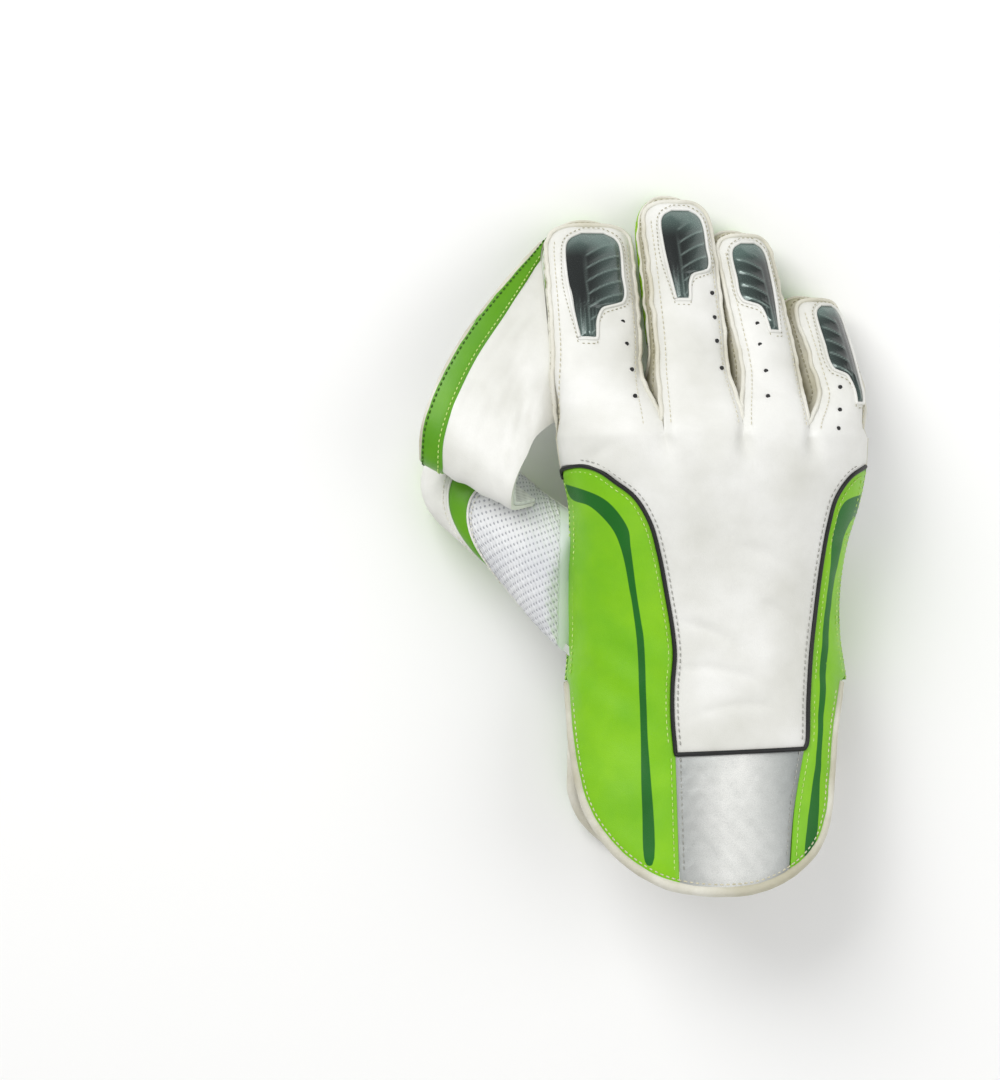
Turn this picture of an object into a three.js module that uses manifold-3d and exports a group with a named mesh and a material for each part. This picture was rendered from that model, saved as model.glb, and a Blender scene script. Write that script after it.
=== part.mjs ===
// A right-hand wicketkeeping glove, lying palm down on a flat surface.
// Millimetres. +X to the little finger, +Y to the fingertips, +Z out of the back of the hand.
import * as THREE from "three";
import { mergeVertices } from "three/addons/utils/BufferGeometryUtils.js";
import Module from "manifold-3d";

const wasm = await Module();
wasm.setup();

// Overall sizes
const CUFF_LENGTH = 92; // gauntlet, from its end to the wrist
const PALM_LENGTH = 104; // wrist to the crotches of the fingers
const PALM_WIDTH = 134; // across the knuckles
const KNUCKLE_HEIGHT = 86; // the back at the knuckles, above the surface
const FINGER_REACH = 106; // middle finger, crotch to tip, seen from above
const FINGER_WIDTH = 33; // middle finger, at half its depth
const FINGER_DEPTH = 32; // middle finger, back to palm
const THUMB_REACH = 84; // thumb, seen from above
const THUMB_WIDTH = 39;
const THUMB_DEPTH = 32;

// Walls and clearances
const GAP = 0.3; // between pieces that touch
const BACK_WALL = 5; // padded leather back
const SIDE_WALL = 4; // side panels
const PALM_WALL = 4.5; // rubber facing, leather and padding
const CUFF_WALL = 3.5; // gauntlet flaps
const FINGER_BACK_WALL = 4;
const GUSSET_WALL = 2;
const PAD_WALL = 4;
const GUARD_WALL = 1.8;
const THUMB_WALL = 3;
const WEB_LEATHER_WALL = 2;
const WEB_RUBBER_WALL = 1.8;
const WEB_BORDER_WIDTH = 11.5;
const PIPING_WIDTH = 1.6;
const PIPING_STAND = 0.7; // how far the piping stands above the panels
const BINDING_RADIUS = 2.3;

// Places that other sizes follow
const WRIST_Y = CUFF_LENGTH;
const KNUCKLE_Y = CUFF_LENGTH + PALM_LENGTH;
const ROOT_BLEND = 0.34; // share of a finger over which it leaves the hand's own section

// Sections of the hand. at: 0 at the wrist, 1 at the knuckles, down to -1 at the gauntlet's end.
// left, right and ridge are shares of PALM_WIDTH; the heights are shares of KNUCKLE_HEIGHT.
// seamLeft and seamRight are the side seams, belly is the depth of the palm below them.
const HAND = [
  { at: -1.0, left: -0.53, right: 0.46, ridge: -0.06, crown: 0.84, seamLeft: 0.4, seamRight: 0.3, belly: 0.39 },
  { at: -0.65, left: -0.52, right: 0.45, ridge: -0.06, crown: 0.81, seamLeft: 0.4, seamRight: 0.3, belly: 0.39 },
  { at: -0.3, left: -0.5, right: 0.44, ridge: -0.07, crown: 0.78, seamLeft: 0.4, seamRight: 0.3, belly: 0.37 },
  { at: 0.0, left: -0.475, right: 0.427, ridge: -0.08, crown: 0.78, seamLeft: 0.43, seamRight: 0.31, belly: 0.3 },
  { at: 0.18, left: -0.466, right: 0.407, ridge: -0.1, crown: 0.79, seamLeft: 0.46, seamRight: 0.33, belly: 0.26 },
  { at: 0.37, left: -0.466, right: 0.407, ridge: -0.12, crown: 0.82, seamLeft: 0.5, seamRight: 0.34, belly: 0.24 },
  { at: 0.56, left: -0.463, right: 0.429, ridge: -0.15, crown: 0.87, seamLeft: 0.55, seamRight: 0.36, belly: 0.225 },
  { at: 0.73, left: -0.467, right: 0.468, ridge: -0.18, crown: 0.93, seamLeft: 0.6, seamRight: 0.38, belly: 0.215 },
  { at: 0.88, left: -0.493, right: 0.49, ridge: -0.21, crown: 0.975, seamLeft: 0.64, seamRight: 0.395, belly: 0.21 },
  { at: 1.0, left: -0.507, right: 0.496, ridge: -0.23, crown: 1.0, seamLeft: 0.66, seamRight: 0.4, belly: 0.21 },
];
const BACK_SQUARENESS = { left: 0.86, right: 0.96 }; // 1 is an ellipse, less is squarer
const BELLY_SQUARENESS = 0.62;

// Fingers. backFrom to backTo and palmFrom to palmTo are the roots on the back and on the palm, shares of
// PALM_WIDTH, as tipX is. reach is a share of FINGER_REACH, tipHeight and depth of FINGER_DEPTH, back and middle
// of FINGER_WIDTH. split gives the share of the length where the green pad starts, on either side. guardStart is
// where the guard starts, share of the length, and guardShift moves it sideways, share of the back's half width.
const FINGERS = [
  {
    name: "index", backFrom: -0.507, backTo: -0.172, palmFrom: -0.507, palmTo: -0.262, tipX: -0.425, tipHeight: 0.26,
    reach: 0.9, roll: 11, back: 1.13, middle: 1.06, depth: 1, splitLeft: 0.67, splitRight: 0.47,
    guardStart: 0.455, guardShift: 0, mirror: 1,
  },
  {
    name: "middle", backFrom: -0.172, backTo: 0.085, palmFrom: -0.262, palmTo: -0.02, tipX: -0.16, tipHeight: 0.26,
    reach: 1, roll: 15, back: 0.9, middle: 0.91, depth: 1, splitLeft: 0.39, splitRight: 0.27,
    guardStart: 0.575, guardShift: 0.03, mirror: 1,
  },
  {
    name: "ring", backFrom: 0.085, backTo: 0.305, palmFrom: -0.02, palmTo: 0.21, tipX: 0.068, tipHeight: 0.26,
    reach: 0.857, roll: 22, back: 0.76, middle: 0.88, depth: 0.97, splitLeft: 0.31, splitRight: 0.46,
    guardStart: 0.52, guardShift: 0, mirror: -1,
  },
  {
    name: "little", backFrom: 0.305, backTo: 0.496, palmFrom: 0.21, palmTo: 0.496, tipX: 0.306, tipHeight: 0.26,
    reach: 0.585, roll: 32, back: 0.68, middle: 0.9, depth: 0.9, splitLeft: 0.6, splitRight: 0.85,
    guardStart: 0.25, guardShift: 0.2, mirror: -1,
  },
];
const FINGER_DROP = 0.36; // share of the fall that is even, the rest grows towards the tip
const BACK_DOME = 0.12; // how far a finger's back falls off to its edges, share of FINGER_DEPTH
const BACK_SHARE = 0.97; // length of a finger's back, share of the finger's
const TIP_START = { back: 0.86, side: 0.78 }; // where the rounding of a tip starts, share of its length
const TIP_SQUARENESS = { back: 3.2, side: 2.3 }; // 2 is a half circle

// Guard outline, with a tail on one side. at runs from the guard's start to its end, from and to are shares of
// the back's half width.
const GUARD_END = 0.965; // share of the back's length
const GUARD = [
  { at: 0.0, from: -0.46, to: -0.06 },
  { at: 0.28, from: -0.56, to: 0.12 },
  { at: 0.34, from: -0.58, to: 0.62 },
  { at: 0.6, from: -0.64, to: 0.68 },
  { at: 0.86, from: -0.64, to: 0.68 },
  { at: 0.95, from: -0.54, to: 0.58 },
  { at: 1.0, from: -0.3, to: 0.34 },
];

// Edge of the back flap from the thumb side round to the other: x in PALM_WIDTH, y in CUFF_LENGTH.
const BACK_FLAP_EDGE = [
  { x: -0.478, y: 0.98 }, { x: -0.463, y: 0.71 }, { x: -0.445, y: 0.55 }, { x: -0.418, y: 0.41 },
  { x: -0.365, y: 0.28 }, { x: -0.285, y: 0.16 }, { x: -0.16, y: 0.06 }, { x: 0.0, y: 0.025 },
  { x: 0.145, y: 0.045 }, { x: 0.255, y: 0.12 }, { x: 0.33, y: 0.23 }, { x: 0.365, y: 0.37 },
  { x: 0.378, y: 0.55 }, { x: 0.39, y: 0.75 }, { x: 0.415, y: 0.98 },
];
// Edge of the palm flap, which shows past the back flap on the thumb side.
const PALM_FLAP_EDGE = [
  { x: -0.455, y: 0.96 }, { x: -0.462, y: 0.74 }, { x: -0.466, y: 0.58 }, { x: -0.462, y: 0.44 },
  { x: -0.415, y: 0.31 }, { x: -0.325, y: 0.2 }, { x: -0.19, y: 0.11 }, { x: -0.02, y: 0.085 },
  { x: 0.14, y: 0.11 }, { x: 0.26, y: 0.19 }, { x: 0.335, y: 0.3 }, { x: 0.37, y: 0.46 },
  { x: 0.385, y: 0.62 }, { x: 0.39, y: 0.78 }, { x: 0.39, y: 0.96 },
];

// The line that parts the white back from the green sides, x in PALM_WIDTH, y in PALM_LENGTH above the wrist.
const THUMB_SIDE_LINE = [
  { x: -0.5, y: 0.865 }, { x: -0.441, y: 0.88 }, { x: -0.382, y: 0.862 }, { x: -0.323, y: 0.81 },
  { x: -0.264, y: 0.75 }, { x: -0.215, y: 0.647 }, { x: -0.186, y: 0.52 }, { x: -0.161, y: 0.356 },
  { x: -0.141, y: 0.204 }, { x: -0.134, y: 0.104 }, { x: -0.141, y: -0.025 }, { x: -0.141, y: -0.151 },
  { x: -0.131, y: -0.305 },
];
const LITTLE_SIDE_LINE = [
  { x: 0.486, y: 0.88 }, { x: 0.433, y: 0.837 }, { x: 0.384, y: 0.749 }, { x: 0.36, y: 0.635 },
  { x: 0.34, y: 0.483 }, { x: 0.32, y: 0.28 }, { x: 0.305, y: 0.104 }, { x: 0.296, y: -0.087 },
  { x: 0.291, y: -0.264 }, { x: 0.283, y: -0.285 },
];
// The silver panel's sides below that line, x in PALM_WIDTH, y in CUFF_LENGTH.
const SILVER_THUMB_SIDE = [{ x: -0.131, y: 0.655 }, { x: -0.12, y: 0.088 }];
const SILVER_LITTLE_SIDE = [{ x: 0.283, y: 0.678 }, { x: 0.25, y: 0.4 }, { x: 0.2365, y: 0.145 }];

// Green insets of the palm, x in PALM_WIDTH, y in PALM_LENGTH above the wrist.
const THUMB_PATCH = [
  { x: -0.6, y: 0.93 },
  { x: -0.42, y: 0.84 },
  { x: -0.3, y: 0.7 },
  { x: -0.33, y: 0.6 },
  { x: -0.6, y: 0.62 },
];
const LITTLE_PATCH = [{ x: 0.29, y: 0.5 }, { x: 0.6, y: 0.52 }, { x: 0.6, y: 0.03 }, { x: 0.285, y: 0.02 }];

// The palm flap's two joins, x in PALM_WIDTH at the wrist and at the flap's end, and y there in CUFF_LENGTH.
const PALM_FLAP_JOINS = [{ top: -0.2, end: -0.1, endY: 0.132 }, { top: 0.235, end: 0.25, endY: 0.21 }];

// Web, from the index finger over the thumb, then under to the thumb's upper side. outerX and outerY place its
// free edge, innerX and innerY the edge at the crotch, shares of PALM_WIDTH and PALM_LENGTH above the wrist.
// outerZ and innerZ are shares of KNUCKLE_HEIGHT.
const WEB = [
  { outerX: -0.69, outerY: 1.62, outerZ: 0.44, innerX: -0.575, innerY: 1.0, innerZ: 0.66 },
  { outerX: -0.805, outerY: 1.42, outerZ: 0.54, innerX: -0.605, innerY: 0.92, innerZ: 0.7 },
  { outerX: -0.89, outerY: 1.22, outerZ: 0.6, innerX: -0.632, innerY: 0.85, innerZ: 0.73 },
  { outerX: -0.937, outerY: 1.05, outerZ: 0.61, innerX: -0.65, innerY: 0.78, innerZ: 0.74 },
  { outerX: -0.945, outerY: 0.93, outerZ: 0.56, innerX: -0.655, innerY: 0.725, innerZ: 0.71 },
  { outerX: -0.94, outerY: 0.905, outerZ: 0.48, innerX: -0.65, innerY: 0.7, innerZ: 0.65 },
];
const WEB_ON_INDEX = { outer: 0.93, inner: 0.08 }; // where the web meets the index finger, share of its length
const WEB_ON_THUMB = { outer: 0.92, inner: 0.44, round: 0.42 }; // and the thumb, share of its length and half turn

// Thumb, from its root inside the hand's side to its tip. Root in shares of PALM_WIDTH, PALM_LENGTH above the
// wrist and KNUCKLE_HEIGHT. heading is the angle in the plan between the thumb and the hand's own length.
const THUMB = {
  rootX: -0.437,
  rootY: 0.39,
  rootZ: 0.47,
  heading: 48.6,
  tipHeight: 0.32,
  rootWidth: 1.32,
  inside: 0.3,
};
const THUMB_TIP = { start: 0.72, squareness: 2.2 };
const THUMB_SQUARENESS = 0.8;
const THUMB_STRIPE = { middle: 0.71, edge: 0.3, width: 0.14 }; // shares of the thumb's length
const THUMB_PAD_START = 0.3;

const mix = THREE.MathUtils.lerp;
const ease = THREE.MathUtils.smoothstep;
const radians = THREE.MathUtils.degToRad;

// Reads every column of a table at a place between its rows, along a smooth curve.
function readTable(rows, at) {
  const last = rows.length - 1;
  const place = THREE.MathUtils.clamp(at, rows[0].at, rows[last].at);
  let i = 0;
  while (i < last - 1 && place > rows[i + 1].at) i++;
  const [a, b, c, d] = [rows[Math.max(i - 1, 0)], rows[i], rows[i + 1], rows[Math.min(i + 2, last)]];
  const span = c.at - b.at;
  const w = (place - b.at) / span;
  const found = {};
  for (const key of Object.keys(b)) {
    if (typeof b[key] !== "number") continue;
    const slopeB = a === b ? (c[key] - b[key]) / span : (c[key] - a[key]) / (c.at - a.at);
    const slopeC = d === c ? (c[key] - b[key]) / span : (d[key] - b[key]) / (d.at - b.at);
    const h = w * w * (3 - 2 * w);
    found[key] =
      b[key] * (1 - h) + c[key] * h + span * (slopeB * w * (1 - w) * (1 - w) - slopeC * w * w * (1 - w));
  }
  return found;
}

// The hand's section at a height y, in millimetres.
function sectionAt(y) {
  const at = y < WRIST_Y ? (y - WRIST_Y) / CUFF_LENGTH : (y - WRIST_Y) / PALM_LENGTH;
  const row = readTable(HAND, at);
  const width = (share) => share * PALM_WIDTH;
  const height = (share) => share * KNUCKLE_HEIGHT;
  return {
    left: width(row.left), right: width(row.right), ridge: width(row.ridge), crown: height(row.crown),
    seamLeft: height(row.seamLeft), seamRight: height(row.seamRight), belly: height(row.belly),
  };
}

const power = (value, exponent) => Math.pow(Math.max(value, 0), exponent);

// Skin of the back. phi runs from 0 at the thumb-side seam to PI at the other.
function backSkin(phi, y) {
  const s = sectionAt(y);
  const across = Math.cos(phi);
  const onLeft = across > 0;
  const k = onLeft ? BACK_SQUARENESS.left : BACK_SQUARENESS.right;
  const edge = onLeft ? s.left : s.right;
  const seam = onLeft ? s.seamLeft : s.seamRight;
  const x = s.ridge + (edge - s.ridge) * power(Math.abs(across), k);
  return new THREE.Vector3(x, y, seam + (s.crown - seam) * power(Math.sin(phi), k));
}

// The phi at which the skin of the back lies over x.
function backAngle(x, y) {
  const s = sectionAt(y);
  const onLeft = x < s.ridge;
  const edge = onLeft ? s.left : s.right;
  const k = onLeft ? BACK_SQUARENESS.left : BACK_SQUARENESS.right;
  const share = THREE.MathUtils.clamp((x - s.ridge) / (edge - s.ridge), 0, 1);
  const across = Math.acos(power(share, 1 / k));
  return onLeft ? across : Math.PI - across;
}

// Skin of the palm, below the side seams. It is flat where it rests.
function palmSkin(phi, y) {
  const s = sectionAt(y);
  const across = Math.cos(phi);
  const half = (s.right - s.left) / 2;
  const x = (s.right + s.left) / 2 - half * Math.sign(across) * power(Math.abs(across), BELLY_SQUARENESS);
  const seam = mix(s.seamLeft, s.seamRight, (x - s.left) / (s.right - s.left));
  return new THREE.Vector3(x, y, Math.max(0, seam - s.belly * power(Math.sin(phi), BELLY_SQUARENESS)));
}

function palmAngle(x, y) {
  const s = sectionAt(y);
  const share = THREE.MathUtils.clamp((2 * x - s.right - s.left) / (s.right - s.left), -1, 1);
  return Math.acos(-Math.sign(share) * power(Math.abs(share), 1 / BELLY_SQUARENESS));
}

// A point at a depth below a skin, measured square to it. turn is 1 for the back and -1 for the palm.
function below(skin, phi, y, depth, turn) {
  const step = 0.02;
  const from = Math.max(phi - step, 0);
  const to = Math.min(phi + step, Math.PI);
  const alongPhi = skin(to, y).sub(skin(from, y));
  const alongY = skin(phi, Math.min(y + 1, KNUCKLE_Y)).sub(skin(phi, Math.max(y - 1, 0)));
  const normal = alongPhi.cross(alongY).normalize().multiplyScalar(turn);
  const point = skin(phi, y).addScaledVector(normal, -depth);
  if (turn < 0) point.z = Math.max(point.z, depth);
  return point;
}
const backAt = (phi, y, depth) => below(backSkin, phi, y, depth, 1);
const palmAt = (phi, y, depth) => below(palmSkin, phi, y, depth, -1);

// A closed wall between an outer and an inner skin. pointAt(r, c, inside) takes shares of the rows and columns.
function wall(rows, columns, pointAt) {
  const position = [];
  for (const inside of [false, true])
    for (let i = 0; i <= rows; i++)
      for (let j = 0; j <= columns; j++) position.push(...pointAt(i / rows, j / columns, inside).toArray());
  const id = (inside, i, j) => ((inside ? rows + 1 : 0) + i) * (columns + 1) + j;
  const index = [];
  const quad = (a, b, c, d) => index.push(a, b, c, a, c, d);
  for (let i = 0; i < rows; i++)
    for (let j = 0; j < columns; j++) {
      quad(id(false, i, j), id(false, i, j + 1), id(false, i + 1, j + 1), id(false, i + 1, j));
      quad(id(true, i, j), id(true, i + 1, j), id(true, i + 1, j + 1), id(true, i, j + 1));
    }
  for (let i = 0; i < rows; i++) {
    quad(id(false, i, 0), id(false, i + 1, 0), id(true, i + 1, 0), id(true, i, 0));
    quad(id(false, i, columns), id(true, i, columns), id(true, i + 1, columns), id(false, i + 1, columns));
  }
  for (let j = 0; j < columns; j++) {
    quad(id(false, 0, j), id(true, 0, j), id(true, 0, j + 1), id(false, 0, j + 1));
    quad(id(false, rows, j), id(false, rows, j + 1), id(true, rows, j + 1), id(true, rows, j));
  }
  return facingOut(position, index);
}

// A closed solid through rings of points, with a fan at each end.
function throughRings(rings) {
  const position = rings.flat().flatMap((p) => p.toArray());
  const count = rings[0].length;
  const index = [];
  for (let i = 0; i + 1 < rings.length; i++)
    for (let j = 0; j < count; j++) {
      const k = (j + 1) % count;
      const [a, b, c, d] = [i * count + j, i * count + k, (i + 1) * count + k, (i + 1) * count + j];
      index.push(a, b, c, a, c, d);
    }
  const lastRing = (rings.length - 1) * count;
  for (let j = 1; j + 1 < count; j++) index.push(0, j + 1, j, lastRing, lastRing + j, lastRing + j + 1);
  return facingOut(position, index);
}

// Turns the faces round if they point inwards, and merges shared vertices.
function facingOut(position, index) {
  const raw = new THREE.BufferGeometry();
  raw.setAttribute("position", new THREE.Float32BufferAttribute(position, 3));
  raw.setIndex(index);
  const merged = mergeVertices(raw, 1e-3);
  const found = merged.index.array;
  const at = (i) => new THREE.Vector3().fromBufferAttribute(merged.attributes.position, i);
  const kept = [];
  let volume = 0;
  for (let i = 0; i < found.length; i += 3) {
    const [a, b, c] = [found[i], found[i + 1], found[i + 2]];
    if (a === b || b === c || c === a) continue;
    kept.push(a, b, c);
    volume += at(a).dot(at(b).cross(at(c)));
  }
  if (volume < 0) {
    for (let i = 0; i < kept.length; i += 3) [kept[i + 1], kept[i + 2]] = [kept[i + 2], kept[i + 1]];
  }
  merged.setIndex(kept);
  return merged;
}

function solidOf(geometry) {
  const plain = geometry.clone();
  plain.deleteAttribute("normal");
  plain.deleteAttribute("uv");
  const merged = mergeVertices(plain, 1e-3);
  return new wasm.Manifold(
    new wasm.Mesh({
      numProp: 3,
      vertProperties: new Float32Array(merged.attributes.position.array),
      triVerts: new Uint32Array(merged.index.array),
    }),
  );
}

function geometryOf(solid) {
  const mesh = solid.getMesh();
  const geometry = new THREE.BufferGeometry();
  geometry.setAttribute("position", new THREE.BufferAttribute(mesh.vertProperties, 3));
  geometry.setIndex(new THREE.BufferAttribute(mesh.triVerts, 1));
  return geometry;
}

// The largest body of a solid, without the slivers that a cut leaves.
function mainBody(solid) {
  const bodies = solid.decompose();
  return bodies.reduce((a, b) => (a.volume() > b.volume() ? a : b));
}

// A smooth curve through plan points, read at a share of its length.
function planCurve(points) {
  return new THREE.CatmullRomCurve3(points.map((p) => new THREE.Vector3(p.x, p.y, 0)), false, "centripetal");
}
const inPalm = (rows) => rows.map((p) => ({ x: p.x * PALM_WIDTH, y: WRIST_Y + p.y * PALM_LENGTH }));
const inCuff = (rows) => rows.map((p) => ({ x: p.x * PALM_WIDTH, y: p.y * CUFF_LENGTH }));

const material = {
  white: new THREE.MeshStandardMaterial({ color: 0xeeeeea, roughness: 0.55 }),
  cream: new THREE.MeshStandardMaterial({ color: 0xe4e3d8, roughness: 0.6 }),
  rubber: new THREE.MeshStandardMaterial({ color: 0xe6e7e6, roughness: 0.75 }),
  green: new THREE.MeshStandardMaterial({ color: 0x7dc400, roughness: 0.42 }),
  greenRubber: new THREE.MeshStandardMaterial({ color: 0x8fc800, roughness: 0.7 }),
  silver: new THREE.MeshStandardMaterial({ color: 0xb9c2c4, roughness: 0.35, metalness: 0.8 }),
  guard: new THREE.MeshStandardMaterial({ color: 0x2b3a3a, roughness: 0.3, metalness: 0.5 }),
  black: new THREE.MeshStandardMaterial({ color: 0x1b1e1e, roughness: 0.5 }),
};

const glove = new THREE.Group();

function add(name, geometry, finish) {
  geometry.computeVertexNormals();
  const mesh = new THREE.Mesh(geometry, finish);
  mesh.name = name;
  glove.add(mesh);
}

// Back of the hand and back flap of the gauntlet

const SEAM_PHI = (2 * GAP) / PALM_WIDTH; // keeps the back and the palm off the side seams
const offTheSeams = (phi) => THREE.MathUtils.clamp(phi, SEAM_PHI, Math.PI - SEAM_PHI);

const LINE_ROWS = 16; // rows of every piece that follows a side line
const sampled = (curve, rows, from = 0) =>
  Array.from({ length: rows + 1 }, (_, i) => curve.getPointAt(mix(from, 1, i / rows)));
const thumbLine = sampled(planCurve(inPalm(THUMB_SIDE_LINE)), LINE_ROWS, 0.025);
const littleLine = sampled(planCurve(inPalm(LITTLE_SIDE_LINE)), LINE_ROWS, 0.025);
const backFlapEdge = planCurve(inCuff(BACK_FLAP_EDGE));
const palmFlapEdge = planCurve(inCuff(PALM_FLAP_EDGE));
const thumbSilver = planCurve(inCuff(SILVER_THUMB_SIDE));
const littleSilver = planCurve(inCuff(SILVER_LITTLE_SIDE));

// A plan point at a share of a curve, moved to the right of its run by offset.
function beside(curve, share, offset) {
  const at = THREE.MathUtils.clamp(share, 0, 1);
  const p = curve.getPointAt(at);
  const t = curve.getTangentAt(at);
  return { x: p.x + t.y * offset, y: p.y - t.x * offset };
}

// The share of a flap's edge that lies at x, on its lower run.
function shareAtX(curve, x) {
  const steps = 400;
  for (let i = 0; i < steps; i++) {
    const [a, b] = [curve.getPointAt(i / steps), curve.getPointAt((i + 1) / steps)];
    if (a.x <= x && b.x >= x && Math.abs(b.y - a.y) < b.x - a.x) return i / steps;
  }
  throw new Error("the edge doesn't pass this place");
}

// A wall between two edges in the plan, each a function of the share along it.
function backWall(rows, columns, leftEdge, rightEdge, thickness, stand = 0) {
  return wall(rows, columns, (r, c, inside) => {
    const [a, b] = [leftEdge(r), rightEdge(r)];
    const phi = offTheSeams(mix(backAngle(a.x, a.y), backAngle(b.x, b.y), c));
    return backAt(phi, mix(a.y, b.y, c), inside ? thickness : -stand);
  });
}

function palmWall(rows, columns, leftEdge, rightEdge, thickness) {
  return wall(rows, columns, (r, c, inside) => {
    const [a, b] = [leftEdge(r), rightEdge(r)];
    const phi = offTheSeams(mix(palmAngle(a.x, a.y), palmAngle(b.x, b.y), c));
    return palmAt(phi, mix(a.y, b.y, c), inside ? thickness : 0);
  });
}

const PIPED = PIPING_WIDTH / 2 + 1.5 * GAP; // from the piping's middle to a panel's edge
const BOUND = BINDING_RADIUS + 2 * GAP; // from a binding's middle to a panel's edge

// A line of plan points moved to the right of its run, with sharp corners kept.
function parallel(points, offset) {
  return points.map((p, i) => {
    const before = p.clone().sub(points[Math.max(i - 1, 0)]).normalize();
    const after = points[Math.min(i + 1, points.length - 1)].clone().sub(p).normalize();
    const run = before.clone().add(after).normalize();
    const stretch = offset / Math.max(run.dot(i ? before : after), 0.3);
    return { x: p.x + run.y * stretch, y: p.y - run.x * stretch };
  });
}
const rowOf = (points) => (r) => points[Math.round(r * (points.length - 1))];

const BOTTOM_ROWS = 5; // of the piping, between its two lower corners
const acrossBottom = (i) => thumbLine.at(-1).clone().lerp(littleLine.at(-1), i / BOTTOM_ROWS);
const bottomLine = Array.from({ length: BOTTOM_ROWS - 1 }, (_, i) => acrossBottom(i + 1));
const pipingLine = [...thumbLine, ...bottomLine, ...[...littleLine].reverse()];
const pipingOut = rowOf(parallel(pipingLine, PIPING_WIDTH / 2));
const pipingIn = rowOf(parallel(pipingLine, -PIPING_WIDTH / 2));
const piping = backWall(pipingLine.length - 1, 1, pipingOut, pipingIn, SIDE_WALL, PIPING_STAND);
add("back_piping", piping, material.black);

const panelEdge = parallel(pipingLine, -PIPED);
const TOP_ROWS = 3;
function panelSide(points, side) {
  const start = points.at(-1).y;
  const top = Array.from({ length: TOP_ROWS }, (_, i) => ({
    x: side * PALM_WIDTH,
    y: mix(start, KNUCKLE_Y - GAP, (i + 1) / TOP_ROWS),
  }));
  return rowOf([...points, ...top]);
}
const thumbEdge = panelSide(panelEdge.slice(0, LINE_ROWS + 1).reverse(), -1);
const littleEdge = panelSide(panelEdge.slice(LINE_ROWS + BOTTOM_ROWS), 1);
add("back_panel", backWall(LINE_ROWS + TOP_ROWS, 10, thumbEdge, littleEdge, BACK_WALL), material.white);

// A green side panel, from its point at the knuckles to its point at the end of the flap.
const SILVER_ROWS = 6;
function sidePanel(line, silver, flapFrom, flapTo, side) {
  const turn = -side;
  const silverSide = parallel(sampled(silver, SILVER_ROWS), turn * GAP);
  const inner = [...parallel(line, turn * PIPED), ...silverSide.slice(1)];
  const rows = inner.length - 1;
  const seamTop = line[0].y - 3;
  const seamLength = seamTop - WRIST_Y;
  const flapLength = backFlapEdge.getLength() * Math.abs(flapTo - flapFrom);
  const seamRows = Math.round((rows * seamLength) / (seamLength + flapLength));
  const outer = Array.from({ length: rows + 1 }, (_, i) => {
    if (i <= seamRows) return { x: side * PALM_WIDTH, y: mix(seamTop, WRIST_Y + BOUND, i / seamRows) };
    return beside(backFlapEdge, mix(flapFrom, flapTo, (i - seamRows - 1) / (rows - seamRows - 1)), -BOUND);
  });
  const edges = [rowOf(inner), rowOf(outer)];
  return backWall(rows, 4, edges[side < 0 ? 1 : 0], edges[side < 0 ? 0 : 1], SIDE_WALL);
}
const flapSplit = {
  thumb: shareAtX(backFlapEdge, thumbSilver.getPointAt(1).x - 2 * GAP),
  little: shareAtX(backFlapEdge, littleSilver.getPointAt(1).x + 2 * GAP),
};

// The outline of the thumb, and of the hollow inside it

const heading = new THREE.Vector3(-Math.sin(radians(THUMB.heading)), Math.cos(radians(THUMB.heading)), 0);
const acrossThumb = new THREE.Vector3(heading.y, -heading.x, 0);
const roundShare = (t, start, n) => power(1 - power((t - start) / (1 - start), n), 1 / n);

// A point of the thumb's skin. t runs along it, round from -1 to 1 over the upper half, and upper is 1 or -1.
function thumbSkin(t, round, upper, depth) {
  const length = THUMB_REACH - depth;
  const narrow = t > THUMB_TIP.start ? roundShare(t, THUMB_TIP.start, THUMB_TIP.squareness) : 1;
  const half = (mix(THUMB.rootWidth, 1, ease(t, -0.1, 0.5)) * THUMB_WIDTH) / 2 - depth;
  const angle = (Math.PI / 2) * round;
  const a = half * narrow * Math.sin(angle);
  const b = upper * (THUMB_DEPTH / 2 - depth) * narrow * power(Math.cos(angle), THUMB_SQUARENESS);
  const rootY = WRIST_Y + THUMB.rootY * PALM_LENGTH;
  const root = new THREE.Vector3(THUMB.rootX * PALM_WIDTH, rootY, THUMB.rootZ * KNUCKLE_HEIGHT);
  const tipZ = THUMB.tipHeight * THUMB_DEPTH;
  const point = root.addScaledVector(heading, t * length).addScaledVector(acrossThumb, a);
  point.z = mix(point.z, tipZ, 0.55 * t + 0.45 * t * Math.abs(t)) + b;
  point.z = Math.max(point.z, depth);
  return point;
}

// The share of a row of the thumb's rounded tip that spaces the rows evenly round it.
function tipRow(r, from, start, n) {
  const straight = 0.45;
  if (r < straight && from < start) return mix(from, start, r / straight);
  const first = from < start ? (r - straight) / (1 - straight) : r;
  const low = from < start ? 0 : (from - start) / (1 - start);
  const angle = mix(Math.asin(power(low, n / 2)), Math.PI / 2, first);
  return start + (1 - start) * power(Math.sin(angle), 2 / n);
}

const thumbRing = (t, depth) => {
  const ring = [];
  for (let i = 0; i < 16; i++) {
    const angle = (i / 16) * 2 * Math.PI;
    const round = (2 / Math.PI) * Math.asin(Math.sin(angle));
    ring.push(thumbSkin(t, round, Math.cos(angle) >= 0 ? 1 : -1, depth));
  }
  return ring;
};
const thumbHollow = solidOf(throughRings([-0.3, -0.1, 0.1, 0.3, 0.5].map((t) => thumbRing(t, THUMB_WALL))));

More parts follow.
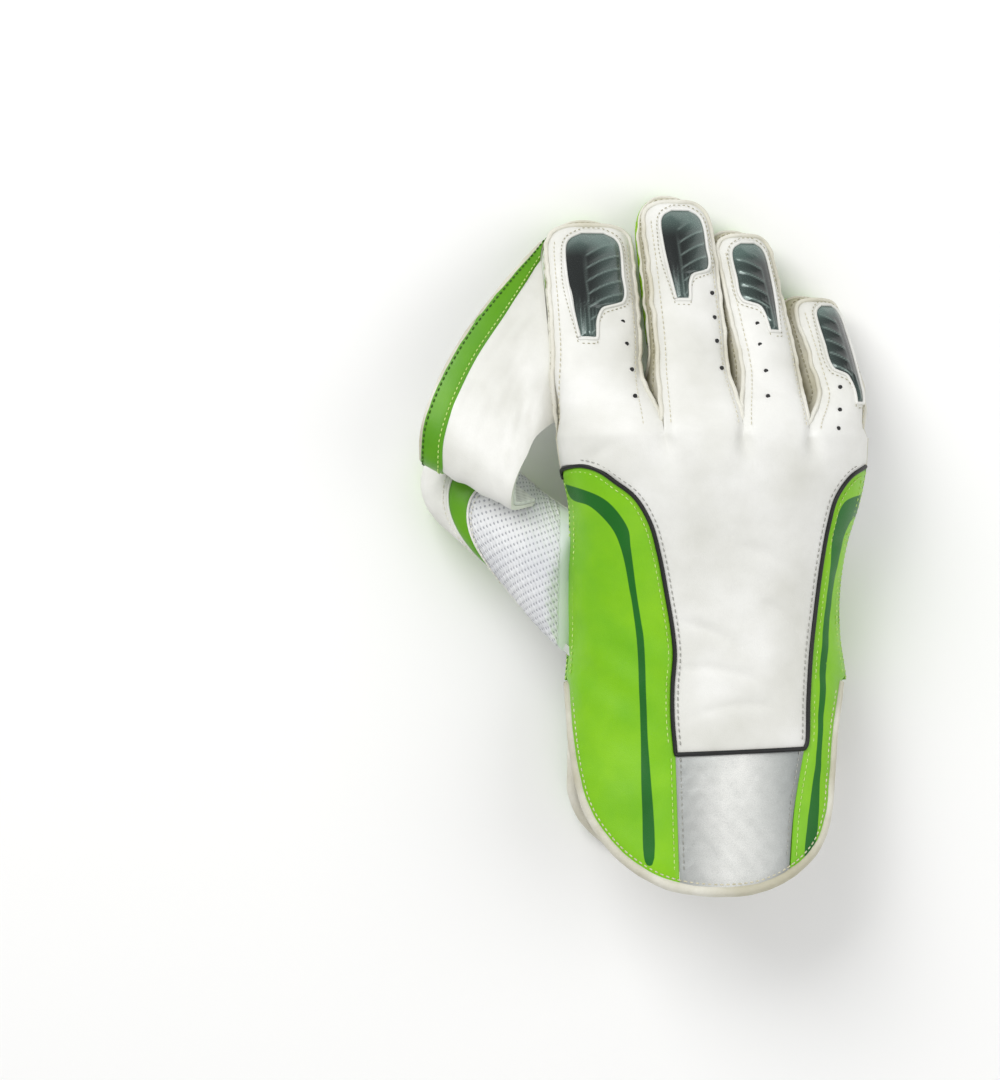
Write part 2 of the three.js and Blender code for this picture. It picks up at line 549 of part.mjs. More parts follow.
// The hand's outline as a solid, which the thumb's halves are trimmed by
const handRing = (y) => {
  const ring = [];
  for (let i = 0; i <= 24; i++) ring.push(backAt((i / 24) * Math.PI, y, -GAP));
  for (let i = 23; i > 0; i--) ring.push(palmAt((i / 24) * Math.PI, y, -GAP));
  return ring;
};
const handOutline = solidOf(throughRings([92, 105, 118, 131, 144, 157, 170, 183].map(handRing)));

function thumbPiece(upper, from, to) {
  const piece = wall(7, 8, (r, c, inside) => {
    const round = c * 2 - 1;
    const start = from(round);
    const t = to ? mix(start, to(round), r) : tipRow(r, start, THUMB_TIP.start, THUMB_TIP.squareness);
    const point = thumbSkin(t, round, upper, inside ? THUMB_WALL : 0);
    if (Math.abs(round) > 0.99) point.z += (upper * GAP) / 2;
    return point;
  });
  return geometryOf(mainBody(solidOf(piece).subtract(handOutline)));
}
const insideHand = () => -THUMB.inside;
const stripeLean = THUMB_STRIPE.middle - THUMB_STRIPE.edge;
const stripeStart = (round) => THUMB_STRIPE.middle - stripeLean * power(-round, 1.8);
const stripeEnd = (round) => stripeStart(round) + THUMB_STRIPE.width;
const shifted = (edge, by) => (round) => edge(round) + by / THUMB_REACH;
add("thumb_base_mesh", thumbPiece(1, insideHand, shifted(stripeStart, -GAP)), material.white);
add("thumb_stripe", thumbPiece(1, stripeStart, stripeEnd), material.green);
add("thumb_back", thumbPiece(1, shifted(stripeEnd, GAP)), material.white);
add("thumb_heel", thumbPiece(-1, insideHand, () => THUMB_PAD_START - GAP / THUMB_REACH), material.rubber);
add("thumb_pad", thumbPiece(-1, () => THUMB_PAD_START), material.greenRubber);

const thumbPanel = solidOf(sidePanel(thumbLine, thumbSilver, 0, flapSplit.thumb, -1)).subtract(thumbHollow);
add("thumb_side_panel", geometryOf(mainBody(thumbPanel)), material.green);
add("little_side_panel", sidePanel(littleLine, littleSilver, 1, flapSplit.little, 1), material.green);

// A panel between two side lines, from a straight top to a flap's edge.
function middlePanel(makeWall, leftLine, rightLine, edge, edgeFrom, edgeTo, tops, thickness) {
  const topX = [beside(leftLine, 0, -GAP).x, beside(rightLine, 0, GAP).x];
  const top = (c) => ({ x: mix(...topX, c), y: mix(...tops, c) });
  const bottom = (c) => beside(edge, mix(edgeFrom, edgeTo, c), -BOUND);
  // A side line, moved so that it ends on the panel's corners.
  const side = (line, c, offset) => (r) => {
    const p = beside(line, r, offset);
    const [start, end] = [beside(line, 0, offset), beside(line, 1, offset)];
    const blend = (key) => p[key] + mix(top(c)[key] - start[key], bottom(c)[key] - end[key], r);
    return { x: blend("x"), y: blend("y") };
  };
  const sides = [side(leftLine, 0, -GAP), side(rightLine, 1, GAP)];
  const position = (r, c) => {
    const blend = (key) => {
      const betweenSides = mix(sides[0](r)[key], sides[1](r)[key], c);
      const betweenEnds = mix(top(c)[key], bottom(c)[key], r);
      const corners = mix(mix(top(0)[key], top(1)[key], c), mix(bottom(0)[key], bottom(1)[key], c), r);
      return betweenSides + betweenEnds - corners;
    };
    return { x: blend("x"), y: blend("y") };
  };
  return makeWall(6, 6, position, thickness);
}
const backPoints = (rows, columns, position, thickness) =>
  wall(rows, columns, (r, c, inside) => {
    const p = position(r, c);
    return backAt(backAngle(p.x, p.y), p.y, inside ? thickness : 0);
  });
const palmPoints = (rows, columns, position, thickness) =>
  wall(rows, columns, (r, c, inside) => {
    const p = position(r, c);
    return palmAt(palmAngle(p.x, p.y), p.y, inside ? thickness : 0);
  });
const silverTops = [thumbLine, littleLine].map((line) => line.at(-1).y - PIPED);
const silverPanel = middlePanel(
  backPoints,
  thumbSilver,
  littleSilver,
  backFlapEdge,
  flapSplit.thumb + 0.004,
  flapSplit.little - 0.004,
  silverTops,
  CUFF_WALL,
);
add("cuff_back_panel", silverPanel, material.silver);

// Rolled edge along a flap
function binding(edge, skinPoint) {
  const points = [];
  for (let i = 0; i <= 40; i++) {
    const p = edge.getPointAt(i / 40);
    points.push(skinPoint(p, CUFF_WALL / 2));
  }
  const path = new THREE.CatmullRomCurve3(points);
  return cord(path, BINDING_RADIUS, 26);
}

// A round cord along a path, with flat ends.
function cord(path, radius, steps) {
  const shape = new THREE.Shape().absarc(0, 0, radius, 0, 2 * Math.PI);
  const along = { steps, curveSegments: 3, extrudePath: path, bevelEnabled: false };
  const geometry = new THREE.ExtrudeGeometry(shape, along);
  geometry.deleteAttribute("normal");
  geometry.deleteAttribute("uv");
  return mergeVertices(geometry, 1e-3);
}
const backEdgePoint = (p, depth) => backAt(backAngle(p.x, p.y), p.y, depth);
add("cuff_back_binding", binding(backFlapEdge, backEdgePoint), material.cream);

// Palm

const palmSide = (side) => (r) => ({ x: side * PALM_WIDTH, y: mix(WRIST_Y + GAP, KNUCKLE_Y - GAP, r) });
const wholePalm = solidOf(palmWall(10, 14, palmSide(-1), palmSide(1), PALM_WALL));
function prismOver(rows, inset) {
  const outline = inPalm(rows).map((p) => [p.x, p.y]).reverse();
  return new wasm.CrossSection([outline]).offset(-inset).extrude(KNUCKLE_HEIGHT);
}
const palmPatches = prismOver(THUMB_PATCH, 0).add(prismOver(LITTLE_PATCH, 0));
const palmFace = wholePalm.subtract(palmPatches).subtract(thumbHollow);
const thumbPatch = wholePalm.intersect(prismOver(THUMB_PATCH, GAP)).subtract(thumbHollow);
const littlePatch = wholePalm.intersect(prismOver(LITTLE_PATCH, GAP));
add("palm_face", geometryOf(mainBody(palmFace)), material.rubber);
add("palm_thumb_patch", geometryOf(mainBody(thumbPatch)), material.greenRubber);
add("palm_little_patch", geometryOf(mainBody(littlePatch)), material.greenRubber);

// Palm flap of the gauntlet

const palmTop = WRIST_Y - GAP;
const joinLine = (join) => planCurve(inCuff([{ x: join.top, y: 1 }, { x: join.end, y: join.endY }]));
const [thumbJoin, littleJoin] = PALM_FLAP_JOINS.map(joinLine);
const palmSplit = {
  thumb: shareAtX(palmFlapEdge, PALM_FLAP_JOINS[0].end * PALM_WIDTH),
  little: shareAtX(palmFlapEdge, PALM_FLAP_JOINS[1].end * PALM_WIDTH),
};
function palmSidePanel(join, edgeFrom, edgeTo, side) {
  const outer = (r) => beside(palmFlapEdge, mix(edgeFrom, edgeTo, r), -BOUND - 1.5 * GAP);
  const innerPoint = (r) => {
    const p = beside(join, r, -side * GAP);
    const [start, end] = [beside(join, 0, -side * GAP), beside(join, 1, -side * GAP)];
    return { x: p.x + r * (outer(1).x - end.x), y: p.y + mix(palmTop - start.y, outer(1).y - end.y, r) };
  };
  const [left, right] = side < 0 ? [outer, innerPoint] : [innerPoint, outer];
  return palmWall(10, 4, left, right, CUFF_WALL);
}
add("cuff_palm_thumb_panel", palmSidePanel(thumbJoin, 0.012, palmSplit.thumb - 0.006, -1), material.green);
add("cuff_palm_little_panel", palmSidePanel(littleJoin, 0.988, palmSplit.little + 0.006, 1), material.green);
const flapPanel = middlePanel(
  palmPoints,
  thumbJoin,
  littleJoin,
  palmFlapEdge,
  palmSplit.thumb,
  palmSplit.little,
  [palmTop, palmTop],
  CUFF_WALL,
);
add("cuff_palm_centre_panel", flapPanel, material.white);
const palmEdgePoint = (p) => palmAt(palmAngle(p.x, p.y), p.y, BINDING_RADIUS);
add("cuff_palm_binding", binding(palmFlapEdge, palmEdgePoint), material.cream);

// Fingers

function fingerShape(f) {
  const first = f.name === "index";
  const last = f.name === "little";
  const length = f.reach * FINGER_REACH;
  const depth = f.depth * FINGER_DEPTH;
  const backHalf = (f.back * FINGER_WIDTH) / 2;
  const sideHalf = (f.middle * FINGER_WIDTH) / 2;
  const roll = radians(f.roll);
  const sidePhi = 0.14; // height of an outer finger's own side at the root, on either side of the seam
  const backPhi = [
    first ? sidePhi : backAngle(f.backFrom * PALM_WIDTH + GAP / 2, KNUCKLE_Y),
    last ? Math.PI - sidePhi : backAngle(f.backTo * PALM_WIDTH - GAP / 2, KNUCKLE_Y),
  ];
  const palmPhi = [
    first ? sidePhi : palmAngle(f.palmFrom * PALM_WIDTH + GAP / 2, KNUCKLE_Y),
    last ? Math.PI - sidePhi : palmAngle(f.palmTo * PALM_WIDTH - GAP / 2, KNUCKLE_Y),
  ];
  const rootBack = backAt(mix(...backPhi, 0.5), KNUCKLE_Y, 0);
  const rootPalm = palmAt(mix(...palmPhi, 0.5), KNUCKLE_Y, 0);
  const root = rootBack.clone().lerp(rootPalm, 0.5).setY(KNUCKLE_Y);
  const right = new THREE.Vector3(Math.cos(roll), 0, -Math.sin(roll));
  const up = new THREE.Vector3(Math.sin(roll), 0, Math.cos(roll));
  const ledge = -0.05 * depth; // where the side meets the front

  const centre = (t) =>
    new THREE.Vector3(
      mix(root.x, f.tipX * PALM_WIDTH, t),
      KNUCKLE_Y + length * t,
      mix(root.z, f.tipHeight * FINGER_DEPTH, FINGER_DROP * t + (1 - FINGER_DROP) * t * t),
    );
  const place = (t, a, b) => centre(t).addScaledVector(right, a).addScaledVector(up, b);
  const fromRoot = (t, rootPoint, own) =>
    rootPoint.clone().add(centre(t)).sub(root).lerp(own, ease(t, 0, ROOT_BLEND));
  const narrowAt = (t, part) =>
    t > TIP_START[part] ? roundShare(t, TIP_START[part], TIP_SQUARENESS[part]) : 1;
  const backHeight = (t) => (depth / 2) * (1 - 0.14 * t * t);

  // Skin of the back. across runs from -1 to 1, stand is above the skin.
  const back = (t, across, stand) => {
    const own = place(
      t * BACK_SHARE,
      across * backHalf * narrowAt(t, "back"),
      backHeight(t) - BACK_DOME * depth * across * across * narrowAt(t, "back") ** 2 + stand,
    );
    return fromRoot(t * BACK_SHARE, backAt(mix(...backPhi, (across + 1) / 2), KNUCKLE_Y, -stand), own);
  };
  // Skin of the front, below the ledge.
  const front = (t, across, inset) => {
    const share = t * (1 - inset / length);
    const angle = (Math.PI / 2) * across;
    const narrow = narrowAt(t, "side");
    const own = place(
      share,
      (sideHalf - inset) * narrow * Math.sin(angle),
      ledge - (depth / 2 + ledge - inset) * narrow * power(Math.cos(angle), 0.75),
    );
    const point = fromRoot(share, palmAt(mix(...palmPhi, (across + 1) / 2), KNUCKLE_Y, inset), own);
    point.z = Math.max(point.z, inset);
    return point;
  };
  // Upper and lower rail of the side wall, on side -1 or 1.
  const rail = (upper, t, side, inset) => {
    const outside = side < 0 ? first : last;
    const end = side < 0 ? 0 : 1;
    const turned = (side * inset * (upper ? 4 : 2)) / PALM_WIDTH;
    const part = upper ? "back" : "side";
    const narrow = narrowAt(t, part);
    const share = t * (upper ? BACK_SHARE : 1) * (1 - inset / length);
    const half = (upper ? backHalf : sideHalf) - inset;
    const b = upper ? backHeight(t) - BACK_DOME * depth * narrow ** 2 - FINGER_BACK_WALL - GAP : ledge + GAP;
    const skin = upper ? backAt : palmAt;
    const phi = (upper ? backPhi : palmPhi)[end];
    const atRoot = outside
      ? skin(phi + side * 0.07, KNUCKLE_Y, inset)
      : skin(phi - turned, KNUCKLE_Y, upper ? FINGER_BACK_WALL + 2 * GAP : PAD_WALL + 4 * GAP);
    return fromRoot(share, atRoot, place(share, side * half * narrow, b));
  };
  return { f, length, back, front, rail };
}

// Rows of a finger's pieces. The side wall has the same rows as the back along its upper rail, and as the
// front and the pad together along its lower rail.
const FRONT_ROWS = 5;
const PAD_ROWS = 6;
const tipAngles = [0.3, 0.58, 0.82, 1];
const backTip = (k) => {
  const round = power(Math.sin((k * Math.PI) / 2), 2 / TIP_SQUARENESS.back);
  return TIP_START.back + (1 - TIP_START.back) * round;
};
const straightRows = [0, 0.09, 0.18, 0.27, 0.37, 0.5, 0.72, 1].map((k) => k * TIP_START.back);
const backSteps = [...straightRows, ...tipAngles.map(backTip)];

function addFinger(shape) {
  const { f, length, back, front, rail } = shape;
  const count = backSteps.length - 1;
  const strip = wall(count, 6, (r, c, inside) =>
    back(backSteps[Math.round(r * count)], c * 2 - 1, inside ? -FINGER_BACK_WALL : 0),
  );
  add("finger_back_" + f.name, strip, material.white);

  const split = (across, by) => mix(f.splitLeft, f.splitRight, (across + 1) / 2) + by / length;
  const frontRow = (r, across) => split(across, -GAP / 2) * power(r, 1.15);
  const padRow = (r, across) => tipRow(r, split(across, GAP / 2), TIP_START.side, TIP_SQUARENESS.side);
  const lower = (i, side) =>
    i <= FRONT_ROWS ? frontRow(i / FRONT_ROWS, side) : padRow((i - FRONT_ROWS) / PAD_ROWS, side);
  const gusset = wall(2 * count, 1, (r, c, inside) => {
    const column = Math.round(r * 2 * count);
    const side = column <= count ? -1 : 1;
    const i = side < 0 ? column : 2 * count - column;
    const inset = inside ? GUSSET_WALL : 0;
    return rail(true, backSteps[i], side, inset).lerp(rail(false, lower(i, side), side, inset), c);
  });
  add("finger_gusset_" + f.name, gusset, material.cream);

  const frontPiece = wall(FRONT_ROWS, 8, (r, c, inside) =>
    front(frontRow(r, c * 2 - 1), c * 2 - 1, inside ? PAD_WALL : 0),
  );
  add("finger_front_" + f.name, frontPiece, material.rubber);
  const pad = wall(PAD_ROWS, 8, (r, c, inside) =>
    front(padRow(r, c * 2 - 1), c * 2 - 1, inside ? PAD_WALL : 0),
  );
  add("finger_pad_" + f.name, pad, material.greenRubber);

  const guard = wall(9, 3, (r, c, inside) => {
    const row = readTable(GUARD, r);
    const [from, to] = f.mirror > 0 ? [row.from, row.to] : [-row.to, -row.from];
    const across = mix(from, to, c) + f.guardShift;
    return back(mix(f.guardStart, GUARD_END, r), across, inside ? 1.5 * GAP : GAP + GUARD_WALL);
  });
  add("finger_guard_" + f.name, guard, material.guard);
}
const fingers = FINGERS.map(fingerShape);
fingers.forEach(addFinger);

// Web

const index = fingers[0];
const webPlace = (x, y, z) =>
  new THREE.Vector3(x * PALM_WIDTH, WRIST_Y + y * PALM_LENGTH, z * KNUCKLE_HEIGHT);
const webCurves = new Map();

// The web's length at a share of its width, 0 at the free edge and 1 at the crotch.
function webCurve(width) {
  if (webCurves.has(width)) return webCurves.get(width);
  const t = mix(WEB_ON_INDEX.outer, WEB_ON_INDEX.inner, width);
  const fronts = [-0.95, -0.8, -0.65].map((across) => index.front(t, across, 0));
  const sides = [index.rail(false, t, -1, 0), ...fronts];
  const outermost = Math.min(...sides.map((p) => p.x));
  const tilt = WEB_LEATHER_WALL * mix(1.6, 0.4, width); // the sheet leans towards the finger at its start
  const points = [sides[0].setX(outermost - 2 * GAP - tilt)];
  for (const row of WEB) {
    const outer = webPlace(row.outerX, row.outerY, row.outerZ);
    points.push(outer.lerp(webPlace(row.innerX, row.innerY, row.innerZ), width));
  }
  points.push(thumbSkin(mix(WEB_ON_THUMB.outer, WEB_ON_THUMB.inner, width), WEB_ON_THUMB.round, 1, -3 * GAP));
  const curve = new THREE.CatmullRomCurve3(points, false, "centripetal");
  webCurves.set(width, curve);
  return curve;
}

function webAt(along, width, depth) {
  const step = 0.01;
  const [s0, s1] = [Math.max(along - step, 0), Math.min(along + step, 1)];
  const [w0, w1] = [Math.max(width - step, 0), Math.min(width + step, 1)];
  const tangent = webCurve(width).getPoint(s1).sub(webCurve(width).getPoint(s0));
  const sideways = webCurve(w1).getPoint(along).sub(webCurve(w0).getPoint(along));
  const normal = tangent.cross(sideways).normalize();
  return webCurve(width).getPoint(along).addScaledVector(normal, -depth);
}

const borderShare = (along) => {
  const edge = webCurve(0).getPoint(along).distanceTo(webCurve(1).getPoint(along));
  return WEB_BORDER_WIDTH / edge;
};
add("web_leather", wall(20, 4, (r, c, inside) => webAt(r, c, inside ? WEB_LEATHER_WALL : 0)), material.white);
add(
  "web_border",
  wall(20, 1, (r, c, inside) => webAt(mix(0.01, 0.9, r), c * borderShare(r), inside ? -GAP : -GAP - 1)),
  material.green,
);
const rubberTop = WEB_LEATHER_WALL + 2.5 * GAP;
const webRubber = wall(20, 4, (r, c, inside) =>
  webAt(mix(0.025, 0.99, r), mix(0.08, 1, c), inside ? rubberTop + WEB_RUBBER_WALL : rubberTop),
);
add("web_rubber", webRubber, material.rubber);
const webEdge = [];
for (let i = 0; i <= 30; i++) webEdge.push(webAt(mix(0.01, 0.99, i / 30), 0.035, rubberTop + 2));
add("web_binding", cord(new THREE.CatmullRomCurve3(webEdge), 1.8, 24), material.cream);

// The whole glove, moved so that its box stands centred on the origin
const box = new THREE.Box3().setFromObject(glove);
const middle = box.getCenter(new THREE.Vector3());
for (const mesh of glove.children) mesh.geometry.translate(-middle.x, -middle.y, -box.min.z);

export default glove;
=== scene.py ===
"""Looks of a right-hand wicketkeeping glove that lies palm down."""

import math

import bmesh
import bpy
import numpy as np
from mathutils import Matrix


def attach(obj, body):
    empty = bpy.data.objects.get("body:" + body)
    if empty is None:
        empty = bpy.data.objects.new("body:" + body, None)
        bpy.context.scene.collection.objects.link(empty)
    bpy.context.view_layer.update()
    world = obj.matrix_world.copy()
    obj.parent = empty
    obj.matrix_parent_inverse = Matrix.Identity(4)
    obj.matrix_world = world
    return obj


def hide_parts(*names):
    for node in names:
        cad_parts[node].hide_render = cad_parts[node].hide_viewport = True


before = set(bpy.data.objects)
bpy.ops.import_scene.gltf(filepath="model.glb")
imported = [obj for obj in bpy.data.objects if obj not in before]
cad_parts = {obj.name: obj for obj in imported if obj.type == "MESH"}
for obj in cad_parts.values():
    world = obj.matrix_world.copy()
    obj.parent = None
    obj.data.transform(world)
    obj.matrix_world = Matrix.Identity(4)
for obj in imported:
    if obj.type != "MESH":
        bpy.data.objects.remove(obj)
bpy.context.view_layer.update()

# Sizes in millimetres. The glove is worked out in plan, and CENTRE moves it to the row's frame.
CENTRE = np.array([-30.3713, 151.0376, 0.0])
CUFF_LENGTH = 92
PALM_LENGTH = 104
PALM_WIDTH = 134
KNUCKLE_HEIGHT = 86
FINGER_REACH = 106
FINGER_WIDTH = 33
FINGER_DEPTH = 32
THUMB_REACH = 84
THUMB_WIDTH = 39
THUMB_DEPTH = 32
BACK_WALL = 5
SIDE_WALL = 4
PALM_WALL = 4.5
CUFF_WALL = 3.5
FINGER_BACK_WALL = 4
GUSSET_WALL = 2
PAD_WALL = 4
THUMB_WALL = 3
BINDING_RADIUS = 2.3
WRIST_Y = CUFF_LENGTH
KNUCKLE_Y = CUFF_LENGTH + PALM_LENGTH
ROOT_BLEND = 0.34

# Sections of the hand: share of the length from the wrist, then left, right and ridge in shares of
# PALM_WIDTH, and crown, left seam, right seam and belly in shares of KNUCKLE_HEIGHT.
HAND = np.array([
    [-1.0, -0.53, 0.46, -0.06, 0.84, 0.4, 0.3, 0.39],
    [-0.65, -0.52, 0.45, -0.06, 0.81, 0.4, 0.3, 0.39],
    [-0.3, -0.5, 0.44, -0.07, 0.78, 0.4, 0.3, 0.37],
    [0.0, -0.475, 0.427, -0.08, 0.78, 0.43, 0.31, 0.3],
    [0.18, -0.466, 0.407, -0.1, 0.79, 0.46, 0.33, 0.26],
    [0.37, -0.466, 0.407, -0.12, 0.82, 0.5, 0.34, 0.24],
    [0.56, -0.463, 0.429, -0.15, 0.87, 0.55, 0.36, 0.225],
    [0.73, -0.467, 0.468, -0.18, 0.93, 0.6, 0.38, 0.215],
    [0.88, -0.493, 0.49, -0.21, 0.975, 0.64, 0.395, 0.21],
    [1.0, -0.507, 0.496, -0.23, 1.0, 0.66, 0.4, 0.21],
])
BACK_SQUARENESS = (0.86, 0.96)
BELLY_SQUARENESS = 0.62

FINGERS = [
    dict(name="index", back_from=-0.507, back_to=-0.172, palm_from=-0.507, palm_to=-0.262, tip_x=-0.425,
         reach=0.9, roll=11, back=1.13, middle=1.06, depth=1, split_left=0.67, split_right=0.47,
         guard_start=0.455, guard_shift=0, mirror=1),
    dict(name="middle", back_from=-0.172, back_to=0.085, palm_from=-0.262, palm_to=-0.02, tip_x=-0.16,
         reach=1, roll=15, back=0.9, middle=0.91, depth=1, split_left=0.39, split_right=0.27,
         guard_start=0.575, guard_shift=0.03, mirror=1),
    dict(name="ring", back_from=0.085, back_to=0.305, palm_from=-0.02, palm_to=0.21, tip_x=0.068, reach=0.857,
         roll=22, back=0.76, middle=0.88, depth=0.97, split_left=0.31, split_right=0.46, guard_start=0.52,
         guard_shift=0, mirror=-1),
    dict(name="little", back_from=0.305, back_to=0.496, palm_from=0.21, palm_to=0.496, tip_x=0.306,
         reach=0.585, roll=32, back=0.68, middle=0.9, depth=0.9, split_left=0.6, split_right=0.85,
         guard_start=0.25, guard_shift=0.2, mirror=-1),
]
TIP_HEIGHT = 0.26
FINGER_DROP = 0.36
BACK_DOME = 0.12
BACK_SHARE = 0.97
TIP_START = {"back": 0.86, "side": 0.78}
TIP_SQUARENESS = {"back": 3.2, "side": 2.3}
GUARD_END = 0.965
GUARD = np.array([
    [0.0, -0.46, -0.06],
    [0.28, -0.56, 0.12],
    [0.34, -0.58, 0.62],
    [0.6, -0.64, 0.68],
    [0.86, -0.64, 0.68],
    [0.95, -0.54, 0.58],
    [1.0, -0.3, 0.34],
])

BACK_FLAP_EDGE = [
    (-0.478, 0.98), (-0.463, 0.71), (-0.445, 0.55), (-0.418, 0.41), (-0.365, 0.28), (-0.285, 0.16),
    (-0.16, 0.06), (0.0, 0.025), (0.145, 0.045), (0.255, 0.12), (0.33, 0.23), (0.365, 0.37),
    (0.378, 0.55), (0.39, 0.75), (0.415, 0.98),
]
PALM_FLAP_EDGE = [
    (-0.455, 0.96), (-0.462, 0.74), (-0.466, 0.58), (-0.462, 0.44), (-0.415, 0.31), (-0.325, 0.2),
    (-0.19, 0.11), (-0.02, 0.085), (0.14, 0.11), (0.26, 0.19), (0.335, 0.3), (0.37, 0.46),
    (0.385, 0.62), (0.39, 0.78), (0.39, 0.96),
]
THUMB_SIDE_LINE = [
    (-0.5, 0.865), (-0.441, 0.88), (-0.382, 0.862), (-0.323, 0.81), (-0.264, 0.75), (-0.215, 0.647),
    (-0.186, 0.52), (-0.161, 0.356), (-0.141, 0.204), (-0.134, 0.104), (-0.141, -0.025), (-0.141, -0.151),
    (-0.131, -0.305),
]
LITTLE_SIDE_LINE = [
    (0.486, 0.88), (0.433, 0.837), (0.384, 0.749), (0.36, 0.635), (0.34, 0.483), (0.32, 0.28), (0.305, 0.104),
    (0.296, -0.087), (0.291, -0.264), (0.283, -0.285),
]
SILVER_THUMB_SIDE = [(-0.131, 0.655), (-0.12, 0.088)]
SILVER_LITTLE_SIDE = [(0.283, 0.678), (0.25, 0.4), (0.2365, 0.145)]
PALM_FLAP_JOINS = [(-0.2, -0.1, 0.132), (0.235, 0.25, 0.21)]

WEB = np.array([
    [-0.69, 1.62, 0.44, -0.575, 1.0, 0.66],
    [-0.805, 1.42, 0.54, -0.605, 0.92, 0.7],
    [-0.89, 1.22, 0.6, -0.632, 0.85, 0.73],
    [-0.937, 1.05, 0.61, -0.65, 0.78, 0.74],
    [-0.945, 0.93, 0.56, -0.655, 0.725, 0.71],
    [-0.94, 0.905, 0.48, -0.65, 0.7, 0.65],
])
WEB_ON_INDEX = (0.93, 0.08)
WEB_ON_THUMB = (0.92, 0.44, 0.42)
WEB_LEATHER_WALL = 2
WEB_BORDER_WIDTH = 11.5

THUMB_ROOT = (-0.437, 0.39, 0.47)
THUMB_HEADING = math.radians(48.6)
THUMB_TIP_HEIGHT = 0.32
THUMB_ROOT_WIDTH = 1.32
THUMB_TIP = (0.72, 2.2)
THUMB_SQUARENESS = 0.8
THUMB_STRIPE = (0.71, 0.3, 0.14)
THUMB_PAD_START = 0.3

# Dark green printed stripe on either side panel, as an outline in plan
PRINT_ON_THUMB_SIDE = [
    (-64, 176), (-56, 173.5), (-46, 168), (-38, 157), (-36.8, 149), (-33.6, 126), (-31, 109), (-30.1, 89),
    (-29.5, 70), (-27.5, 13.5), (-30, 13.5), (-31.8, 40), (-32.4, 70), (-33, 89), (-34, 109), (-37, 130),
    (-41, 149), (-45, 157.5), (-54, 166.5), (-61, 169.5),
]
PRINT_ON_LITTLE_SIDE = [
    (64, 172), (55, 168), (50.7, 156.6), (48.5, 135), (45.1, 103), (43.2, 63), (38.3, 14.6), (41, 15.5),
    (45.4, 62), (48.1, 103), (50.6, 131), (54, 148), (58.5, 160.5), (64.5, 165),
]


def smoothstep(x, low, high):
    t = np.clip((x - low) / (high - low), 0, 1)
    return t * t * (3 - 2 * t)


def mix(a, b, t):
    return a + (b - a) * t


def power(value, exponent):
    return np.power(np.maximum(value, 0), exponent)


def same_shape(*values):
    return np.broadcast_arrays(*[np.asarray(value, float) for value in values])


def read_table(rows, at):
    """Columns of a table at places between its rows, on a smooth curve."""
    key = rows[:, 0]
    at = np.clip(np.asarray(at, float), key[0], key[-1])
    i = np.clip(np.searchsorted(key, at, side="right") - 1, 0, len(key) - 2)
    last = len(key) - 1
    low, high = np.maximum(i - 1, 0), np.minimum(i + 2, last)
    span = (key[i + 1] - key[i])[..., None]
    w = ((at - key[i]) / (key[i + 1] - key[i]))[..., None]
    b, c = rows[i], rows[i + 1]
    straight = (c - b) / span
    slope_b = np.where((i == 0)[..., None], straight, (c - rows[low]) / (key[i + 1] - key[low])[..., None])
    slope_c = np.where((i == last - 1)[..., None], straight,
                       (rows[high] - b) / (key[high] - key[i])[..., None])
    h = w * w * (3 - 2 * w)
    return b * (1 - h) + c * h + span * (slope_b * w * (1 - w) ** 2 - slope_c * w * w * (1 - w))


fine_y = np.linspace(0, KNUCKLE_Y, 800)
fine_at = np.where(fine_y < WRIST_Y, (fine_y - WRIST_Y) / CUFF_LENGTH, (fine_y - WRIST_Y) / PALM_LENGTH)
section_table = read_table(HAND, fine_at)


def section(y):
    scale = [PALM_WIDTH] * 3 + [KNUCKLE_HEIGHT] * 4
    return [np.interp(y, fine_y, section_table[:, k + 1]) * scale[k] for k in range(7)]


def back_skin(phi, y):
    left, right, ridge, crown, seam_left, seam_right, _ = section(y)
    across = np.cos(phi)
    on_left = across > 0
    k = np.where(on_left, *BACK_SQUARENESS)
    edge = np.where(on_left, left, right)
    seam = np.where(on_left, seam_left, seam_right)
    x = ridge + (edge - ridge) * power(np.abs(across), k)
    return np.stack([x, y + 0 * x, seam + (crown - seam) * power(np.sin(phi), k)], -1)


def back_angle(x, y):
    left, right, ridge, *_ = section(y)
    on_left = x < ridge
    edge = np.where(on_left, left, right)
    k = np.where(on_left, *BACK_SQUARENESS)
    across = np.arccos(power(np.clip((x - ridge) / (edge - ridge), 0, 1), 1 / k))
    return np.where(on_left, across, math.pi - across)


def palm_skin(phi, y):
    left, right, _, _, seam_left, seam_right, belly = section(y)
    across = np.cos(phi)
    half = (right - left) / 2
    x = (right + left) / 2 - half * np.sign(across) * power(np.abs(across), BELLY_SQUARENESS)
    seam = mix(seam_left, seam_right, (x - left) / (right - left))
    z = np.maximum(0, seam - belly * power(np.sin(phi), BELLY_SQUARENESS))
    return np.stack([x, y + 0 * x, z], -1)


def palm_angle(x, y):
    left, right, *_ = section(y)
    share = np.clip((2 * x - right - left) / (right - left), -1, 1)
    return np.arccos(-np.sign(share) * power(np.abs(share), 1 / BELLY_SQUARENESS))


def below(skin, phi, y, depth, turn):
    phi, y, depth = same_shape(phi, y, depth)
    along_phi = skin(np.minimum(phi + 0.02, math.pi), y) - skin(np.maximum(phi - 0.02, 0), y)
    along_y = skin(phi, np.minimum(y + 1, KNUCKLE_Y)) - skin(phi, np.maximum(y - 1, 0))
    normal = np.cross(along_phi, along_y)
    normal /= np.maximum(np.linalg.norm(normal, axis=-1, keepdims=True), 1e-9)
    point = skin(phi, y) - turn * normal * depth[..., None]
    if turn < 0:
        point[..., 2] = np.maximum(point[..., 2], np.maximum(depth, 0))
    return point


def back_at(phi, y, depth):
    return below(back_skin, phi, y, depth, 1)


